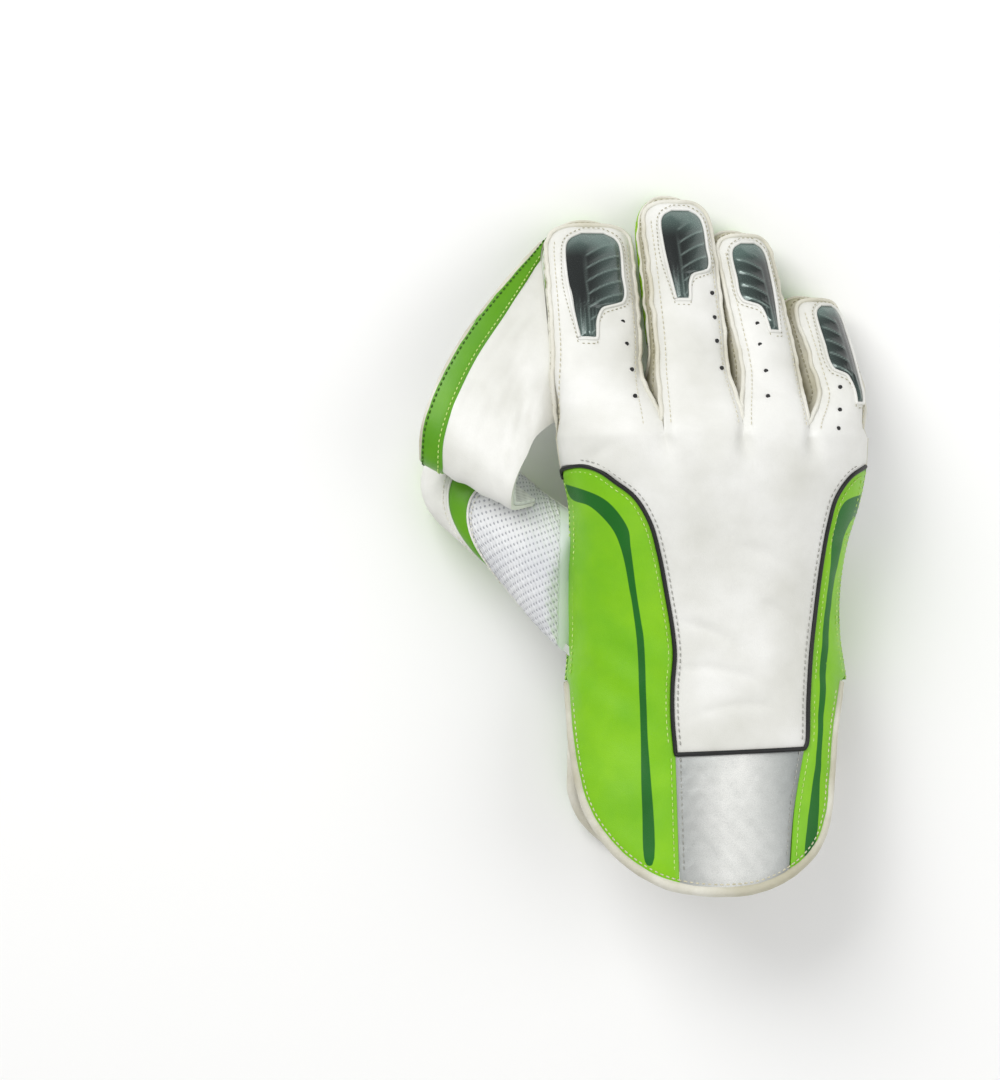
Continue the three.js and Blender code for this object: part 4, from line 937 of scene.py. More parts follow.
# Ends, width and depth of the creases in the back of the hand
HAND_CREASES = [
    ((-58, 183, -34, 199), 3.2, 1.1),
    ((-30, 118, 10, 106), 2.6, 0.9),
    ((-22, 96, 22, 90), 2.4, 0.8),
    ((20, 126, 40, 104), 2.4, 0.7),
    ((-34, 160, -22, 128), 3.2, 0.7),
    ((6, 150, 34, 138), 3.0, 0.5),
    ((-12, 76, 28, 80), 2.0, 0.6),
]
back_across = clustered(31)
finger_phi = [mix(f.back_phi[0], f.back_phi[1], (back_across + 1) / 2) for f in fingers]
top_phi = np.concatenate([[EDGE_PHI, 0.05]] + [finger_phi[0]] + [p[1:] for p in finger_phi[1:]]
                         + [[math.pi - 0.05, math.pi - EDGE_PHI]])
top_share = (top_phi - top_phi[0]) / (top_phi[-1] - top_phi[0])


def panel_side(line, offset, side):
    """One edge of the back panel: up along its line, then along the hand's outline to the knuckles."""
    share = np.linspace(1, 0, PANEL_ROWS)
    run = line.beside(share, offset + 0 * share)
    top_y = np.linspace(run[-1, 1], KNUCKLE_Y, TOP_ROWS + 1)[1:]
    top = np.stack([np.full(TOP_ROWS, side * PALM_WIDTH), top_y], -1)
    return np.concatenate([run, top])


def evened(values, reach=14):
    """The values along an edge with their sudden turns spread over a few rows."""
    window = np.hanning(2 * reach + 1)
    spread = np.convolve(np.pad(values, reach, mode="edge"), window / window.sum(), "valid")
    rows = np.arange(len(values))
    return mix(values, spread, smoothstep(np.minimum(rows, rows[::-1]), 0, reach))


def between_edges(left, right):
    """Rows from the left edge to the right one, even inside and exact at both edges."""
    even_left, even_right = evened(left), evened(right)
    near_left, near_right = np.exp(-top_share * 25)[None], np.exp(-(1 - top_share) * 25)[None]
    rows = mix(even_left[:, None], even_right[:, None], top_share[None])
    return rows + (left - even_left)[:, None] * near_left + (right - even_right)[:, None] * near_right


def bend(distance, phi):
    """Rounds the bend over the knuckles, at a distance from it along the hand."""
    left = np.maximum(BEND_REACH - np.abs(distance), 0)
    return -BEND_ANGLE / (4 * BEND_REACH) * left**2 * np.sin(phi)


def hand_sheet():
    """Outer and inner points and shading of the hand's back, and how far its last row stands."""
    left, right = panel_side(thumb_line, -0.5, -1), panel_side(little_line, 0.5, 1)
    left_phi = np.clip(back_angle(left[:, 0], left[:, 1]), EDGE_PHI, None)
    right_phi = np.clip(back_angle(right[:, 0], right[:, 1]), None, math.pi - EDGE_PHI)
    phi = between_edges(left_phi, right_phi)
    hand_y = between_edges(left[:, 1], right[:, 1])
    base = back_at(phi, hand_y, 0.0)
    d_columns = edge_distance(base)[1]
    steps = np.linalg.norm(np.diff(base, axis=0), axis=-1)
    from_bottom = np.cumsum(np.pad(steps, [(1, 0), (0, 0)]), axis=0)
    stand = PUFF * (1 - np.exp(-d_columns / 3.5)) * (1 - np.exp(-from_bottom / 3.5)) - 0.1
    # Painted shade in the valleys between the finger roots, carried as the shade value
    hollow = np.zeros(base.shape[:2])
    for f in fingers[:3]:
        away = np.linalg.norm(base - back_at(f.back_phi[1], hand_y, 0.0), axis=-1)
        down = KNUCKLE_Y - hand_y
        valley = np.exp(-((away / (3.0 + 0.25 * down)) ** 2)) * (1 - smoothstep(down, 0, 17))
        stand -= EDGE_ROLL * valley
        hollow = np.maximum(hollow, valley**2 * 0.9)
    x, y = base[..., 0], base[..., 1]
    fading = smoothstep(KNUCKLE_Y - y, 0, 9) * (1 - np.exp(-d_columns / 6))
    fold = 0.45 * waves(x, y, 3, 42) + 0.22 * waves(x, y, 4, 15)
    for (ax, ay, bx, by), width, deep in HAND_CREASES:
        fold = fold - deep * crease(x, y, ((ax, ay), (bx, by)), width)
    stand += fold * fading
    stand += bend(KNUCKLE_Y - hand_y, phi)
    return (back_at(phi, hand_y, -stand), back_at(phi, hand_y, BACK_WALL), {"hollow": hollow}), stand[-1]


def finger_sheet(k, f, hand_row):
    """The same for a finger's back, which starts at its stretch of the hand's last row."""
    t = tip_rows(int(f.length / 1.15), TIP_START["back"], TIP_SQUARENESS["back"])
    T, A = np.meshgrid(t, back_across, indexing="ij")
    side_gap = (1 - np.abs(A)) * f.back_half * np.maximum(f.narrow(T, "back"), 0.05)
    tip_gap = (1 - T) * f.length
    phi = finger_phi[k][None]
    own = PUFF - EDGE_ROLL * np.exp(-np.minimum(side_gap, tip_gap * 1.4) / 2.5)
    own += (0.25 * waves(T * f.length, A * 16, 20 + k, 16)) * np.clip(side_gap / 5, 0, 1) * (1 - T**4)
    for at in (0.2, 0.34):
        dent = np.exp(-(((T - at - 0.02 * A) * f.length / 2.6) ** 2))
        own -= 0.4 * dent * (0.4 + 0.6 * np.abs(A))
    stand = mix(hand_row[None] - bend(0.0, phi), own, smoothstep(T, 0, 0.14)) + bend(T * f.length, phi)
    # Painted shade along the finger back's rolled side edges
    hollow = np.exp(-side_gap / 1.6) * 0.7 * smoothstep(T, 0, 0.1)
    inner = f.back(T, A, -mix(BACK_WALL, FINGER_BACK_WALL, smoothstep(T, 0, 0.2)))
    return f.back(T, A, stand), inner, {"hollow": hollow}


def back_sheet():
    hand, last_row = hand_sheet()
    parts = [hand]
    column = 2
    for k, f in enumerate(fingers):
        parts.append(finger_sheet(k, f, last_row[column:column + len(back_across)]))
        column += len(back_across) - 1
    obj = joined("back_leather", parts, WHITE, LINING, ("hollow",))
    finish_piece(obj, ["back_panel"] + ["finger_back_" + f.name for f in fingers])


back_sheet()

# Piping round the back panel, with a hooked upper end on the thumb's side

PIPING_RADIUS = 0.95
PIPING_HOOK = [(0.05, 181.6), (0.02, 180.6), (0.02, 179.2), (0.06, 178.6)]


def back_piping():
    share = np.linspace(0, 1, 150)
    left_run, right_run = thumb_line.at(share), little_line.at(share)[::-1]
    bottom_run = mix(left_run[-1], right_run[0], np.linspace(0, 1, 42)[1:-1, None])
    run = np.concatenate([left_run, bottom_run, right_run])
    phi = np.clip(back_angle(run[:, 0], run[:, 1]), 0.01, math.pi - 0.01)
    path = back_at(phi, run[:, 1], -0.35)
    up = surface_normal(back_at, phi, run[:, 1])
    hook = np.array(PIPING_HOOK)
    hook_path = back_at(hook[:, 0], hook[:, 1], -0.5)
    path = np.concatenate([hook_path[::-1], path[2:]])
    up = np.concatenate([np.tile(up[:1], (len(hook), 1)), up[2:]])
    piping = tube("piping", path, PIPING_RADIUS, BLACK, 10, 1.0, up)
    finish_piece(piping, ["back_piping"])


back_piping()


# Rows of stitches, filled by the pieces that they hold

white_stitches, cream_stitches, grey_stitches = Stitches(), Stitches(), Stitches()
tan_stitches, lime_stitches, dark_stitches = Stitches(), Stitches(), Stitches()
GREY_ROW = dict(pitch=2.7, length=1.8, radius=0.22)
LIME_ROW = dict(pitch=2.7, length=1.8, radius=0.24)
FLAP_ROW = dict(pitch=2.6, length=1.9, radius=0.3)


def back_row(stitches, plan, stand=0.5, **options):
    phi = np.clip(back_angle(plan[:, 0], plan[:, 1]), 0.01, math.pi - 0.01)
    path = back_at(phi, plan[:, 1], -stand)
    stitches.row(path, surface_normal(back_at, phi, plan[:, 1]), **options)


def palm_row(stitches, plan, stand=0.3, **options):
    phi = np.clip(palm_angle(plan[:, 0], plan[:, 1]), 0.01, math.pi - 0.01)
    path = palm_at(phi, plan[:, 1], -stand)
    stitches.row(path, surface_normal(palm_at, phi, plan[:, 1]), **options)


share = np.linspace(0.03, 0.985, 160)
for line, outwards in ((thumb_line, 1), (little_line, -1)):
    back_row(grey_stitches, line.beside(share, -2.4 * outwards + 0 * share), 0.45, **GREY_ROW)
for line, outwards in ((thumb_line, 1), (little_line, -1)):
    back_row(lime_stitches, line.beside(share, 2.6 * outwards + 0 * share), 0.3, **LIME_ROW)

# Green side panels with their printed stripes, down to the gauntlet's end

thumb_split = share_at_x(back_edge, SILVER_THUMB_SIDE[1][0] * PALM_WIDTH)
little_split = share_at_x(back_edge, SILVER_LITTLE_SIDE[2][0] * PALM_WIDTH)


def thumb_height(t):
    """Height of the thumb's middle at a share of its length."""
    drop = 0.55 * t + 0.45 * t * np.abs(t)
    return mix(THUMB_ROOT[2] * KNUCKLE_HEIGHT, THUMB_TIP_HEIGHT * THUMB_DEPTH, drop)


def thumb_radius(point, depth):
    """Below 1 inside the thumb's stall, at a depth below its skin."""
    root = np.array([THUMB_ROOT[0] * PALM_WIDTH, WRIST_Y + THUMB_ROOT[1] * PALM_LENGTH])
    heading = np.array([-math.sin(THUMB_HEADING), math.cos(THUMB_HEADING)])
    away = point[..., :2] - root
    t = (away @ heading) / (THUMB_REACH - depth)
    a = away @ np.array([heading[1], -heading[0]])
    middle = thumb_height(t)
    half = mix(THUMB_ROOT_WIDTH, 1, smoothstep(t, -0.1, 0.5)) * THUMB_WIDTH / 2 - depth
    tall = THUMB_DEPTH / 2 - depth
    radius = np.hypot(a / half, (point[..., 2] - middle) / tall)
    return np.where((t > -0.3) & (t < 0.6), radius, 9.0)


def side_panel(name, line, silver_line, flap_to, side, printed, seed):
    turn = -side
    rows = 200
    lengths = [line.length, silver_line.length]
    first = int(rows * lengths[0] / sum(lengths))
    share = np.linspace(0.0, 1, first)
    low_share = np.linspace(0, 1, rows - first + 1)[1:]
    inner = np.concatenate([
        line.beside(share, turn * 0.5 + 0 * share),
        silver_line.beside(low_share, turn * 0.1 + 0 * low_share),
    ])
    seam_top = line.at(0.0)[1] - 3
    flap_from = 0 if side < 0 else 1
    flap_length = back_edge.length * abs(flap_to - flap_from)
    seam_rows = int(rows * (seam_top - WRIST_Y) / (seam_top - WRIST_Y + flap_length))
    seam = np.stack([np.full(seam_rows, side * PALM_WIDTH), np.linspace(seam_top, WRIST_Y, seam_rows)], -1)
    flap_share = np.linspace(flap_from, flap_to, rows - seam_rows + 1)[1:]
    outer = np.concatenate([seam, back_edge.beside(flap_share, -1.2 + 0 * flap_share)])
    phi = [np.clip(back_angle(e[:, 0], e[:, 1]), EDGE_PHI, math.pi - EDGE_PHI) for e in (inner, outer)]
    c = (clustered(38, 0.6) + 1) / 2
    grid_phi = mix(phi[0][:, None], phi[1][:, None], c[None])
    y = mix(inner[:, 1:2], outer[:, 1:2], c[None])
    base = back_at(grid_phi, y, 0.0)
    x, yy = base[..., 0], base[..., 1]
    rise = pillow(base, 0.9, 2.2)
    fold = 0.5 * waves(x, yy, seed, 34) + 0.25 * waves(x, yy, seed + 1, 12)
    ripples = np.sin(yy / 3.1 + 0.25 * x) * np.exp(-(((yy - 93) / 17) ** 2)) * 0.28
    stand = rise + (fold + ripples) * rise / 0.9 * 0.8 - 0.15
    edge_rows, edge_columns = edge_distance(base)
    # Painted shade towards the panel's edges and seams
    hollow = np.exp(-np.minimum(edge_rows, edge_columns) / 1.5) * 0.9
    stripe = signed_inside(x, yy, printed)
    values = {"hollow": hollow, "stripe": stripe}
    mask = None
    if side < 0:
        seam_z = section(base[..., 1])[4]
        mask = (thumb_radius(base, THUMB_WALL + 0.5) > 1) | (base[..., 2] > seam_z - 1)
    outer, inner = back_at(grid_phi, y, -stand), back_at(grid_phi, y, SIDE_WALL)
    return open_shell(name, outer, inner, GREEN, values, LINING, mask)


panel = side_panel("thumb_side_leather", thumb_line, thumb_silver, thumb_split, -1,
                   PRINT_ON_THUMB_SIDE, 31)
finish_piece(panel, ["thumb_side_panel"])
panel = side_panel("little_side_leather", little_line, little_silver, little_split, 1,
                   PRINT_ON_LITTLE_SIDE, 41)
finish_piece(panel, ["little_side_panel"])


# Gauntlet: silver panel, palm flap panels and rolled edges

def middle_panel(left_line, right_line, edge, split, tops, rows=84, columns=84):
    r = np.linspace(0, 1, rows)[:, None]
    c = ((clustered(columns, 0.4) + 1) / 2)[None]
    top_x = [left_line.at(0.0)[0], right_line.at(0.0)[0]]

    def top(at):
        return np.stack([mix(*top_x, at), mix(*tops, at)], -1)

    def bottom(at):
        share = mix(*split, at)
        return edge.beside(share, -1.2 + 0 * share)

    def side(line, at):
        p = line.at(r[:, 0])
        place = np.array([at * 1.0])
        start, end = top(place)[0] - line.at(0.0), bottom(place)[0] - line.at(1.0)
        return p + mix(start[None], end[None], r)

    sides = [side(left_line, 0)[:, None], side(right_line, 1)[:, None]]
    ends = [top(c[0])[None], bottom(c[0])[None]]
    cc, rr = c[..., None], r[..., None]
    corners = [[top(np.array([a]))[0] for a in (0.0, 1.0)], [bottom(np.array([a]))[0] for a in (0.0, 1.0)]]
    flat = mix(mix(corners[0][0], corners[0][1], cc), mix(corners[1][0], corners[1][1], cc), rr)
    return mix(sides[0], sides[1], cc) + mix(ends[0], ends[1], rr) - flat


def silver_panel():
    plan = middle_panel(thumb_silver, little_silver, back_edge, (thumb_split, little_split),
                        (thumb_line.at(1.0)[1] - 0.5, little_line.at(1.0)[1] - 0.5))
    base = on_back(plan)
    rise = pillow(base, 1.0, 2.4)
    fold = 0.45 * waves(base[..., 0], base[..., 1], 51, 26) + 0.2 * waves(base[..., 0], base[..., 1], 52, 9)
    stand = rise + fold * rise * 0.8 - 0.15
    edge_rows, edge_columns = edge_distance(base)
    # Painted shade value towards the panel's edges; the silver material doesn't read it
    hollow = np.exp(-np.minimum(edge_rows, edge_columns) / 1.5)
    obj = open_shell("silver_panel", on_back(plan, stand), on_back(plan, -CUFF_WALL), SILVER,
                     {"hollow": hollow}, LINING)
    finish_piece(obj, ["cuff_back_panel"])


silver_panel()


for line, turn in ((thumb_silver, 1), (little_silver, -1)):
    share = np.linspace(0.02, 0.96, 60)
    for stitches, offset in ((grey_stitches, -turn * 2.0), (lime_stitches, turn * 2.0)):
        back_row(stitches, line.beside(share, offset + 0 * share), 0.35, **LIME_ROW)


def back_flap_edge():
    share = np.linspace(0, 1, 260)
    plan = back_edge.at(share)
    phi = back_angle(plan[:, 0], plan[:, 1])
    path = back_at(phi, plan[:, 1], CUFF_WALL / 2)
    normal = surface_normal(back_at, phi, plan[:, 1])
    obj = tube("back_flap_edge", path, BINDING_RADIUS + 0.15, CREAM, 20, 1.12, normal, 0.05)
    finish_piece(obj, ["cuff_back_binding"])
    share = np.linspace(0.012, 0.988, 240)
    back_row(cream_stitches, back_edge.beside(share, -2.9 + 0 * share), 0.1, **FLAP_ROW)


back_flap_edge()


palm_split = [share_at_x(palm_edge, join[1] * PALM_WIDTH) for join in PALM_FLAP_JOINS]
joins = [Line(in_cuff([(top, 1), (end, end_y)]), False) for top, end, end_y in PALM_FLAP_JOINS]


def palm_panel(name, left, right, rows, columns, material, cad, wall=PALM_WALL, rise_height=0.7,
               dimpled=False, seed=60, stand_by=0.0, mask_of=None, cluster=0.5):
    """A panel of the palm side between a left and a right edge, functions of the share of the rows."""
    r = (clustered(rows, 0.3) + 1) / 2
    a, b = left(r), right(r)
    if dimpled:
        c = 0.5 - 0.5 * np.cos(math.pi * np.linspace(0, 1, columns))
        y = mix(a[:, 1:2], b[:, 1:2], c[None])
        low, high, *_ = section(y)
        x = mix(np.maximum(a[:, :1], low), np.minimum(b[:, :1], high), c[None])
        grid_phi = np.clip(palm_angle(x, y), EDGE_PHI, math.pi - EDGE_PHI)
    else:
        phi = [np.clip(palm_angle(e[:, 0], e[:, 1]), EDGE_PHI, math.pi - EDGE_PHI) for e in (a, b)]
        c = (clustered(columns, cluster) + 1) / 2
        y = mix(a[:, 1:2], b[:, 1:2], c[None])
        grid_phi = mix(phi[0][:, None], phi[1][:, None], c[None])
    base = palm_at(grid_phi, y, 0.0)
    rise = pillow(base, rise_height, 2.0)
    stand = rise - 0.15 + stand_by + 0.25 * waves(base[..., 0], base[..., 1], seed, 24) * rise
    edge_rows, edge_columns = edge_distance(base)
    # Painted shade towards the panel's edges; the same value also fades the dimples there
    values = {"hollow": np.exp(-np.minimum(edge_rows, edge_columns) / 1.4)}
    if dimpled:
        height = dimples(*surface_run(base))
        values["dimple"] = height
        stand = stand - DIMPLE_DEPTH * (1 - height) * (1 - values["hollow"])
    outer, inner = palm_at(grid_phi, y, -stand), palm_at(grid_phi, y, wall)
    mask = mask_of(base) if mask_of else None
    obj = open_shell(name, outer, inner, material, values, LINING, mask)
    return finish_piece(obj, cad)


def flap_side(join, edge_from, edge_to, side, name, cad):
    def outer(r):
        share = mix(edge_from, edge_to, r)
        return palm_edge.beside(share, -1.4 + 0 * share)

    def inner(r):
        p = join.at(r)
        end = outer(np.array([1.0]))[0] - join.at(1.0)
        return p + r[:, None] * end
    left, right = (outer, inner) if side < 0 else (inner, outer)
    palm_panel(name, left, right, 96, 34, GREEN, [cad], CUFF_WALL, 0.6, False, 61 + side)


flap_side(joins[0], 0.004, palm_split[0], -1, "palm_flap_thumb_leather", "cuff_palm_thumb_panel")
flap_side(joins[1], 0.996, palm_split[1], 1, "palm_flap_little_leather", "cuff_palm_little_panel")


def palm_flap_middle():
    plan = middle_panel(joins[0], joins[1], palm_edge, palm_split, (WRIST_Y, WRIST_Y), 84, 60)
    base = on_palm(plan)
    rise = pillow(base, 0.7, 2.2)
    stand = rise - 0.15 + 0.3 * waves(base[..., 0], base[..., 1], 66, 22) * rise
    obj = open_shell("palm_flap_leather", on_palm(plan, stand), on_palm(plan, -CUFF_WALL), WHITE, {}, LINING)
    finish_piece(obj, ["cuff_palm_centre_panel"])


palm_flap_middle()


def palm_flap_edge():
    share = np.linspace(0, 1, 260)
    plan = palm_edge.at(share)
    phi = palm_angle(plan[:, 0], plan[:, 1])
    path = palm_at(phi, plan[:, 1], BINDING_RADIUS)
    obj = tube("palm_flap_edge", path, BINDING_RADIUS + 0.1, CREAM, 20, 1.0, None, 0.05)
    finish_piece(obj, ["cuff_palm_binding"])
    share = np.linspace(0.012, 0.988, 240)
    palm_row(cream_stitches, palm_edge.beside(share, -3.2 + 0 * share), 0.1, **FLAP_ROW)


palm_flap_edge()


# Palm: dimpled rubber with two green patches

def palm_seam(side):
    def edge(r):
        return np.stack([np.full(len(r), side * PALM_WIDTH), mix(WRIST_Y, KNUCKLE_Y, r)], -1)
    return edge


palm_panel("palm_rubber", palm_seam(-1), palm_seam(1), 150, 220, WHITE_RUBBER,
           ["palm_face"], PALM_WALL, 0.3, True, 71, 0.0,
           lambda p: thumb_radius(p, THUMB_WALL + 0.5) > 1, 0.1)
patch_line = Line(in_palm([(-0.52, 0.9), (-0.42, 0.84), (-0.3, 0.7), (-0.33, 0.6), (-0.5, 0.615)]))
palm_panel("palm_thumb_rubber",
           lambda r: np.stack([np.full(len(r), -PALM_WIDTH), WRIST_Y + PALM_LENGTH * mix(0.92, 0.62, r)], -1),
           patch_line.at, 76, 56, GREEN_RUBBER, ["palm_thumb_patch"], 1.5, 0.5, True, 72, 0.5,
           lambda p: thumb_radius(p, THUMB_WALL + 0.5) > 1)
little_patch_line = Line(in_palm([(0.46, 0.5), (0.3, 0.49), (0.288, 0.26), (0.285, 0.03), (0.46, 0.03)]))
palm_panel("palm_little_rubber",
           little_patch_line.at,
           lambda r: np.stack([np.full(len(r), PALM_WIDTH), WRIST_Y + PALM_LENGTH * mix(0.51, 0.03, r)], -1),
           84, 50, GREEN_RUBBER, ["palm_little_patch"], 1.5, 0.5, True, 73, 0.5)

# Side seams between the back and the palm

def side_seam(side, name):
    y = np.linspace(6, KNUCKLE_Y, 300)
    y = y[y > WRIST_Y - 1]
    left, right, _, _, seam_left, seam_right, _ = section(y)
    x = left if side < 0 else right
    z = seam_left if side < 0 else seam_right
    path = np.stack([x - side * 0.2, y, z], -1)
    if side < 0:
        path = path[thumb_radius(path, -1.0) > 1]
    corner = (thumb_line if side < 0 else little_line).at(0.0)[1]
    obj = tube(name, path[path[:, 1] < corner], 1.0, GREEN, 10)
    finish_piece(obj, [])
    obj = tube(name + "_at_fingers", path[path[:, 1] > corner - 1], 1.0, CREAM, 10)
    finish_piece(obj, [])
    rows_at = np.stack([x + side * 0.3, y, z + 1.9], -1)[y < corner]
    if side < 0:
        rows_at = rows_at[thumb_radius(rows_at, -2.5) > 1]
    out = np.tile([side * 0.9, 0, 0.45], (len(rows_at), 1))
    lime_stitches.row(rows_at, out, pitch=2.5, length=1.7, radius=0.3)
    edge_y = np.linspace(WRIST_Y + 2, corner - 4, 160)
    low, high, *_ = section(edge_y)
    edge_x = low + 1.8 if side < 0 else high - 1.8
    back_row(lime_stitches, np.stack([edge_x, edge_y], -1), 0.45, pitch=2.6, length=1.6, radius=0.26)


side_seam(-1, "thumb_side_seam")
side_seam(1, "little_side_seam")

# Fingers: side walls, fronts, pads, guards and seams

def guard_across(f, r, c):
    row = read_table(GUARD, r)
    start, end = (row[..., 1], row[..., 2]) if f.f["mirror"] > 0 else (-row[..., 2], -row[..., 1])
    return mix(start, end, c) + f.f["guard_shift"]


def finger_row(f, stitches, t, across, stand, **options):
    path = f.back(t, across, stand)
    out = f.back(t, across, stand + 1) - path
    stitches.row(path, out / np.linalg.norm(out, axis=1, keepdims=True), **options)


vent_points, vent_faces = [], []
VENTS = {
    "index": [(-40.0, 245.5), (-38.3, 235.6), (-36.1, 224.5), (-35.3, 213.3)],
    "middle": [(-1.3, 258.4), (-0.4, 247.3), (0.4, 236.9), (2.2, 225.3)],
    "ring": [(17.9, 245.1), (18.8, 235.6), (21.1, 224.0), (21.5, 213.3)],
    "little": [(53.8, 217.6), (52.9, 207.7), (52.0, 199.5)],
}
GUARD_SPINE = {"index": -0.22, "middle": -0.2, "ring": 0.25, "little": 0.3}


def finger_place(f, x, y):
    """Share along and across a finger's back that lies above a plan point."""
    t, a = np.meshgrid(np.linspace(0, 0.9, 181), np.linspace(-0.95, 0.95, 96), indexing="ij")
    p = f.back(t, a, 0.0)
    best = np.argmin((p[..., 0] - x) ** 2 + (p[..., 1] - y) ** 2)
    return t.flat[best], a.flat[best]


def finger_side(k, f):
    """Side wall, from one root round the tip to the other. Returns its points and the ways out of it."""
    count = 70
    t_side = tip_rows(count, TIP_START["back"], TIP_SQUARENESS["back"])
    t_low = tip_rows(count, TIP_START["side"], TIP_SQUARENESS["side"])
    c = np.linspace(0, 1, 11)

    def ring(inset):
        halves = []
        for side in (-1, 1):
            upper = f.rail(True, t_side, side, float(inset))
            lower = f.rail(False, t_low, side, float(inset))
            outermost = (k == 0 and side < 0) or (k == len(fingers) - 1 and side > 0)
            tucked = mix(0.4 if outermost else 4.2, 2.0, smoothstep(t_side, 0, 0.13))
            upper = upper - f.up * tucked[:, None]
            halves.append(mix(upper[:, None], lower[:, None], c[None, :, None]))
        return np.concatenate([halves[0], halves[1][:-1][::-1]])

    base, inner = ring(0.0), ring(float(GUSSET_WALL))
    tangent, down = np.gradient(base, axis=0), np.gradient(base, axis=1)
    normal = np.cross(tangent, down)
    normal /= np.maximum(np.linalg.norm(normal, axis=-1, keepdims=True), 1e-9)
    outward = np.sign(np.sum(normal[5] * -f.right)) or 1
    normal *= outward
    bulge = 0.8 * np.sin(c * math.pi)[None] + 0.18 * waves(base[..., 1], base[..., 2] * 3, 80 + k, 9)
    # Painted shade on the gusset, darker from the back's seam towards the palm's seam
    obj = open_shell("finger_side_" + f.name, base + normal * bulge[..., None], inner, CREAM,
                     {"hollow": (0.2 + 1.2 * smoothstep(c, 0.15, 0.8))[None] + 0 * bulge}, LINING)
    finish_piece(obj, ["finger_gusset_" + f.name])
    return base, normal


def finger_seams(k, f, base, normal):
    """Seams along both rails of the side wall, and a row of stitches between them."""
    for upper, column in ((True, 0), (False, -1)):
        path = base[:, column] + normal[:, column] * (0.5 if upper else 0.2)
        path = path[1:-1]
        reach = np.cumsum(np.linalg.norm(np.diff(path, axis=0, prepend=path[:1]), axis=1))
        wavy = 0.5 * waves(reach, 0 * reach, 120 + k, 11.0)[:, None] * f.up
        wavy = wavy + 0.4 * waves(reach, 0 * reach, 130 + k, 8.0)[:, None] * f.right
        ends = 1 - smoothstep(np.minimum(reach, reach[-1] - reach), 0, 7)
        path = path + wavy + (f.up * 0.5 if upper else 0) - f.up * (1.6 * ends)[:, None]
        name = "finger_seam_" + f.name + ("_back" if upper else "_palm")
        obj = tube(name, path, 1.0 if upper else 0.8, SEAM, 10, taper=7.0)
        finish_piece(obj, [])
    side_path = base[3:-3, 3] + normal[3:-3, 3] * 0.7
    tan_stitches.row(side_path, normal[3:-3, 3], pitch=2.6, length=1.8, radius=0.27)


def finger_rubbers(f):
    """Rubber fronts, white below and green over the fingertip."""
    columns = 64
    a = clustered(columns, 0.0)
    split = f.split(a)[None]
    parts = (("front", WHITE_RUBBER, "white_rubber"), ("pad", GREEN_RUBBER, "green_rubber"))
    for part, material, slot in parts:
        if part == "front":
            rows = int(f.length * f.f["split_right"] / 0.85)
            T = split * np.linspace(0, 1, rows)[:, None]
        else:
            rows = int(f.length * (1 - min(f.f["split_right"], f.f["split_left"])) / 0.85) + 18
            rounded = tip_rows(rows, 0.5, 2.0, 0.0, 0.6)[:, None]
            T = split + (1 - split) * rounded
        A = a[None] + 0 * T
        base = f.front(T, A, 0.0)
        u, v = surface_run(base)
        height = dimples(u, v)
        rim = np.exp(-edge_distance(base)[1] / 1.6)
        join_rim = np.exp(-np.abs((T - split) * f.length) / 1.0)
        stand = 0.5 * (1 - rim) + (0.35 if part == "pad" else 0.0) - 0.4 * join_rim
        stand = stand - DIMPLE_DEPTH * (1 - height) * (1 - np.maximum(rim, join_rim))
        stand = stand * smoothstep(T, 0, 0.04) - 0.15
        # Painted shade at the rubber's edges and at the join between white and green rubber
        values = {"dimple": height, "hollow": np.maximum(rim, join_rim) * 0.8}
        outer, inner = f.front(T, A, -stand), f.front(T, A, float(PAD_WALL))
        obj = open_shell("finger_" + part + "_rubber_" + f.name, outer, inner, material, values, LINING)
        finish_piece(obj, ["finger_" + part + "_" + f.name])


